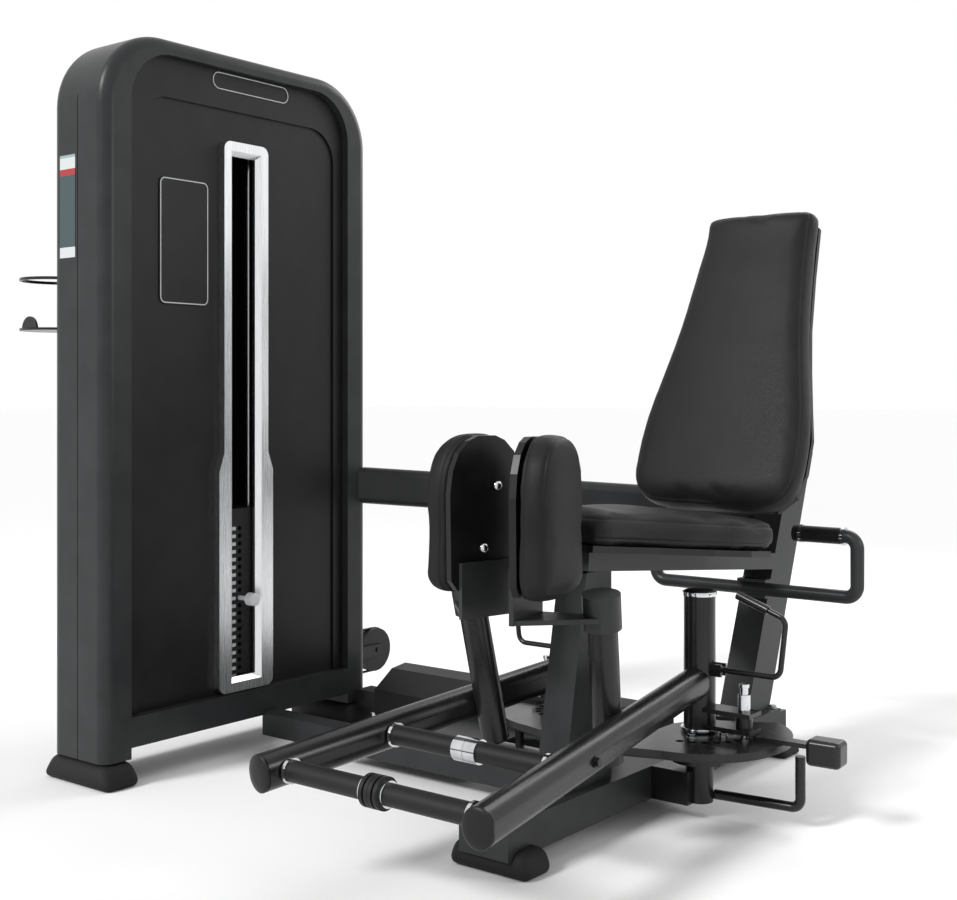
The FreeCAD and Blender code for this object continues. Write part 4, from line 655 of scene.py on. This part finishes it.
# %% Collars on the pivots
COLLAR_Z, THRUST_Z, PLUG_Z = 0.4095, 0.1635, 0.4131
for side, sign in SIDES:
    rider = f"{side}_lever_body"
    hub = Vector((sign * HUB_X, HUB_Y, 0))
    collar = turned_ring(0.0315, 0.0285, 0.008, 0.0008)
    aim(collar, hub + Vector((0, 0, COLLAR_Z)), up)
    dress(collar, "chrome")
    settle(collar, f"{side}_pivot_collar", rider)
    thrust = turned_ring(0.0345, 0.0288, 0.006, 0.0009)
    aim(thrust, hub + Vector((0, 0, THRUST_Z)), up)
    dress(thrust, "chrome")
    settle(thrust, f"{side}_thrust_ring", rider)
    plug = domed_cap(0.056, 0.056, 0.002, 0.004)
    aim(plug, hub + Vector((0, 0, PLUG_Z)), up)
    dress(plug, "board_plastic")
    settle(plug, f"{side}_pivot_plug", rider)


# %% [markdown]
# ## Weight labels
# Every plate carries a small pale sticker beside its pin hole. They are left bare. One sticker is a
# thin rounded tile, copied up the stack at the plates' pitch of 16.8 mm.

# %% Stickers on the plates
PITCH, STACK_LOW, PLATES, PICKED = 0.0168, 0.155, 20, 10
STICKER_SIZE, STICKER_Y = (0.014, 0.0075, 0.0006), 0.2165
face_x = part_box("resting_plates")[1][0]
bpy.ops.mesh.primitive_cube_add(size=1, location=(0, 0, 0))
tile = bpy.context.object
tile.scale = STICKER_SIZE
choose(tile)
bpy.ops.object.transform_apply(location=True, rotation=True, scale=True)
finish_modifier(tile, "BEVEL", width=0.0002, segments=2)
for name, body, first, last in (
    ("resting_stickers", "frame", 0, PLATES - PICKED),
    ("picked_stickers", "stack", PLATES - PICKED, PLATES),
):
    spots = [((face_x + 0.0003, STICKER_Y, STACK_LOW + PITCH * (index + 0.5)), (1, 0, 0))
             for index in range(first, last)]
    copies(tile, spots, name, body, "plate_trim")
discard(tile)


# %% [markdown]
# ## The cable to the stack
# The cable runs from the top pulley down into the head plate's rod. It keeps its place on the frame:
# as the stack rises, the hollow rod swallows it, so nothing pokes out above the pulley.

# %% Cable above the stack
cable_low, cable_high = (Vector(corner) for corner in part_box("stack_cable"))
cable_wide = cable_high.x - cable_low.x
bpy.ops.mesh.primitive_cylinder_add(
    vertices=20, radius=cable_wide / 2, depth=cable_high.z - cable_low.z, end_fill_type="NGON",
    location=(cable_low + cable_high) / 2)
cable = bpy.context.object
finish_modifier(cable, "BEVEL", width=0.0004, segments=2, limit_method="ANGLE")
choose(cable)
bpy.ops.object.shade_smooth_by_angle(angle=math.radians(40))
dress(cable, "cable_coat")
settle(cable, "stack_cable_run", "frame")
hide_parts("stack_cable")


# %% [markdown]
# ## Badge and placard
# High on the panel sits a pill-shaped outline, where a badge goes: a thin pale strip, left empty.
# Lower down is the instruction placard, a dark enamelled plate with round corners and a pale printed
# line inside its edge. It stays bare. Both start as a flat block whose four short edges, from front
# to back, are rounded by a bevel. A line is what is left when a smaller block is taken from a larger.

# %% Rounded blocks and lines
def rounded_block(thick, long, tall, radius, place):
    """A plate that faces +X, with its four corners rounded."""
    bpy.ops.mesh.primitive_cube_add(size=1, location=(0, 0, 0))
    plate = bpy.context.object
    plate.scale = (thick, long, tall)
    choose(plate)
    bpy.ops.object.transform_apply(location=False, rotation=False, scale=True)
    bpy.ops.object.mode_set(mode="EDIT")
    bpy.ops.mesh.select_mode(type="EDGE")
    bpy.ops.mesh.select_all(action="DESELECT")
    bpy.ops.object.mode_set(mode="OBJECT")
    corners = plate.data.vertices
    for edge in plate.data.edges:
        first, last = (corners[index].co for index in edge.vertices)
        edge.select = abs(first.x - last.x) > thick / 2
    bpy.ops.object.mode_set(mode="EDIT")
    bpy.ops.mesh.bevel(offset=radius, segments=10)
    close_edit(plate)
    plate.location = place
    return plate


def printed_line(thick, long, tall, radius, line, place):
    """A rounded outline of an even width."""
    outer = rounded_block(thick, long, tall, radius, place)
    inner = rounded_block(thick * 3, long - 2 * line, tall - 2 * line, radius - line, place)
    finish_modifier(outer, "BOOLEAN", operation="DIFFERENCE", object=inner, solver="EXACT")
    discard(inner)
    return outer


# %% Badge and placard
plates_low, plates_high = (Vector(corner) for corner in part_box("tower_plates"))
BADGE_LONG, BADGE_TALL, PLACARD_LONG, PLACARD_TALL = 0.219, 0.036, 0.130, 0.262
badge_place = Vector(
    (plates_high.x - 0.0006, plates_high.y - BADGE_LONG / 2, plates_high.z - BADGE_TALL / 2))
badge = printed_line(0.0012, BADGE_LONG, BADGE_TALL, 0.0175, 0.0018, badge_place)
dress(badge, "plate_trim")
settle(badge, "badge_outline", "frame")
placard_x = plates_low.x + 0.0013
placard_place = Vector((placard_x, plates_low.y + PLACARD_LONG / 2, plates_low.z + PLACARD_TALL / 2))
placard = rounded_block(0.0025, PLACARD_LONG, PLACARD_TALL, 0.014, placard_place)
finish_modifier(placard, "BEVEL", width=0.0005, segments=2, limit_method="ANGLE")
dress(placard, "board_plastic")
settle(placard, "placard", "frame")
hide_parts("tower_plates")
line_place = placard_place + Vector((0.0013, 0, 0))
line = printed_line(0.0006, PLACARD_LONG - 0.004, PLACARD_TALL - 0.004, 0.0125, 0.0022, line_place)
dress(line, "plate_trim")
settle(line, "placard_line", "frame")
print("placard", PLACARD_LONG, "by", PLACARD_TALL, "m")


# %% [markdown]
# ## Rubber feet
# Each foot is one rubber moulding: a wide sole, a soft flank that draws in to the tube's size, and no
# sharp edge anywhere. A block is drawn in at its top, and a wide bevel of its edges rounds it as the
# mould's radii do.

# %% Feet of the tower and of the floor frame
def moulded_foot(sole, top, tall, place):
    """A foot from its sole's size, its top's size and its height."""
    bpy.ops.mesh.primitive_cube_add(size=1, location=(0, 0, tall / 2))
    foot = bpy.context.object
    foot.scale = (sole[0], sole[1], tall)
    choose(foot)
    bpy.ops.object.transform_apply(location=True, rotation=False, scale=True)
    edit_faces(foot, is_top)
    bpy.ops.transform.resize(value=(top[0] / sole[0], top[1] / sole[1], 1))
    close_edit(foot)
    finish_modifier(foot, "BEVEL", width=tall * 0.42, segments=5, limit_method="NONE")
    low = min(vertex.co.z for vertex in foot.data.vertices)
    foot.location = Vector(place) - Vector((0, 0, low))
    choose(foot)
    bpy.ops.object.shade_smooth()
    return foot


feet_low, feet_high = (Vector(corner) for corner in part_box("tower_feet"))
TOWER_LEG, SOLE_LIP = 0.066, 0.026
feet_mid = (feet_low.x + feet_high.x) / 2
wide = feet_high.x - feet_low.x
deep = TOWER_LEG + SOLE_LIP * 1.2
drawn_in = (wide - 0.046, TOWER_LEG + 0.006)
feet = []
for y in (feet_low.y + deep / 2, feet_high.y - deep / 2):
    feet.append(moulded_foot((wide, deep), drawn_in, feet_high.z, (feet_mid, y, 0)))
choose(feet[0])
feet[1].select_set(True)
bpy.ops.object.join()
tower_feet = bpy.context.object
dress(tower_feet, "foot_rubber")
settle(tower_feet, "tower_rubber_feet", "frame")
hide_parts("tower_feet")
print("tower feet", round(wide, 3), "by", round(deep, 3), "m")

foot_low, foot_high = (Vector(corner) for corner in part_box("floor_feet"))
FOOT_DEEP, REAR_FOOT_TALL = 0.082, 0.0298
foot_wide = foot_high.x - foot_low.x
drawn_in = (foot_wide - 0.022, FOOT_DEEP - 0.014)
sole = (foot_wide, FOOT_DEEP)
front_foot = moulded_foot(sole, drawn_in, foot_high.z, (0, foot_low.y + FOOT_DEEP / 2, 0))
rear_foot = moulded_foot(sole, drawn_in, REAR_FOOT_TALL, (0, foot_high.y - FOOT_DEEP / 2, 0))
choose(front_foot)
rear_foot.select_set(True)
bpy.ops.object.join()
dress(front_foot, "foot_rubber")
settle(front_foot, "floor_rubber_feet", "frame")
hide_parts("floor_feet")
print("floor feet", round(foot_wide, 3), "by", FOOT_DEEP, "m")


# %% [markdown]
# ## Floor and light
# A pale studio floor runs into a white backdrop. A broad sun from the front left is the key, a large
# lamp above and behind lights the rims, and a small one at the right puts a glint on the chrome.

# %% Floor
bpy.ops.mesh.primitive_plane_add(size=120, location=(-0.4, 0.3, 0))
floor = bpy.context.object
floor.name = "studio_floor"
pale, _, shader, _ = new_surface("pale_studio_floor", Roughness=0.9)
shader.inputs["Base Color"].default_value = swatch("#fbfbfb")
floor.data.materials.append(pale)

world = bpy.data.worlds.new("studio")
bpy.context.scene.world = world
world.use_nodes = True
sky = world.node_tree
sky.nodes.clear()
rays = add_node(sky, "ShaderNodeLightPath")
seen = rays.outputs["Is Camera Ray"]
for ray in ("Is Glossy Ray", "Is Transmission Ray"):
    seen = add_node(sky, "ShaderNodeMath", {"operation": "MAXIMUM"},
                    {0: seen, 1: rays.outputs[ray]}).outputs[0]
strength = spread(sky, seen, 0.55, 1.0)
light = add_node(sky, "ShaderNodeBackground", {"Color": (1, 1, 1, 1)}, {"Strength": strength})
add_node(sky, "ShaderNodeOutputWorld", links={"Surface": light.outputs["Background"]})


# %% Lamps
def lamp(kind, name, place, target, watts, size):
    """A lamp of one kind that points from its place at a target. A sun's size is an angle."""
    bpy.ops.object.light_add(type=kind, location=place)
    made = bpy.context.object
    made.name = name
    made.data.energy = watts
    if kind == "SUN":
        made.data.angle = size
    else:
        made.data.size = size
    made.rotation_euler = (Vector(target) - Vector(place)).to_track_quat("-Z", "Y").to_euler()


lamp("SUN", "key", (-1.4, -3.6, 3.4), (-0.4, 0.2, 0.6), 2.4, math.radians(14))
lamp("AREA", "rim", (-0.2, 3.2, 2.6), (-0.4, 0.3, 0.7), 40, 2.0)
lamp("AREA", "glint", (2.6, 1.2, 1.6), (0.0, 0.4, 0.5), 16, 0.8)
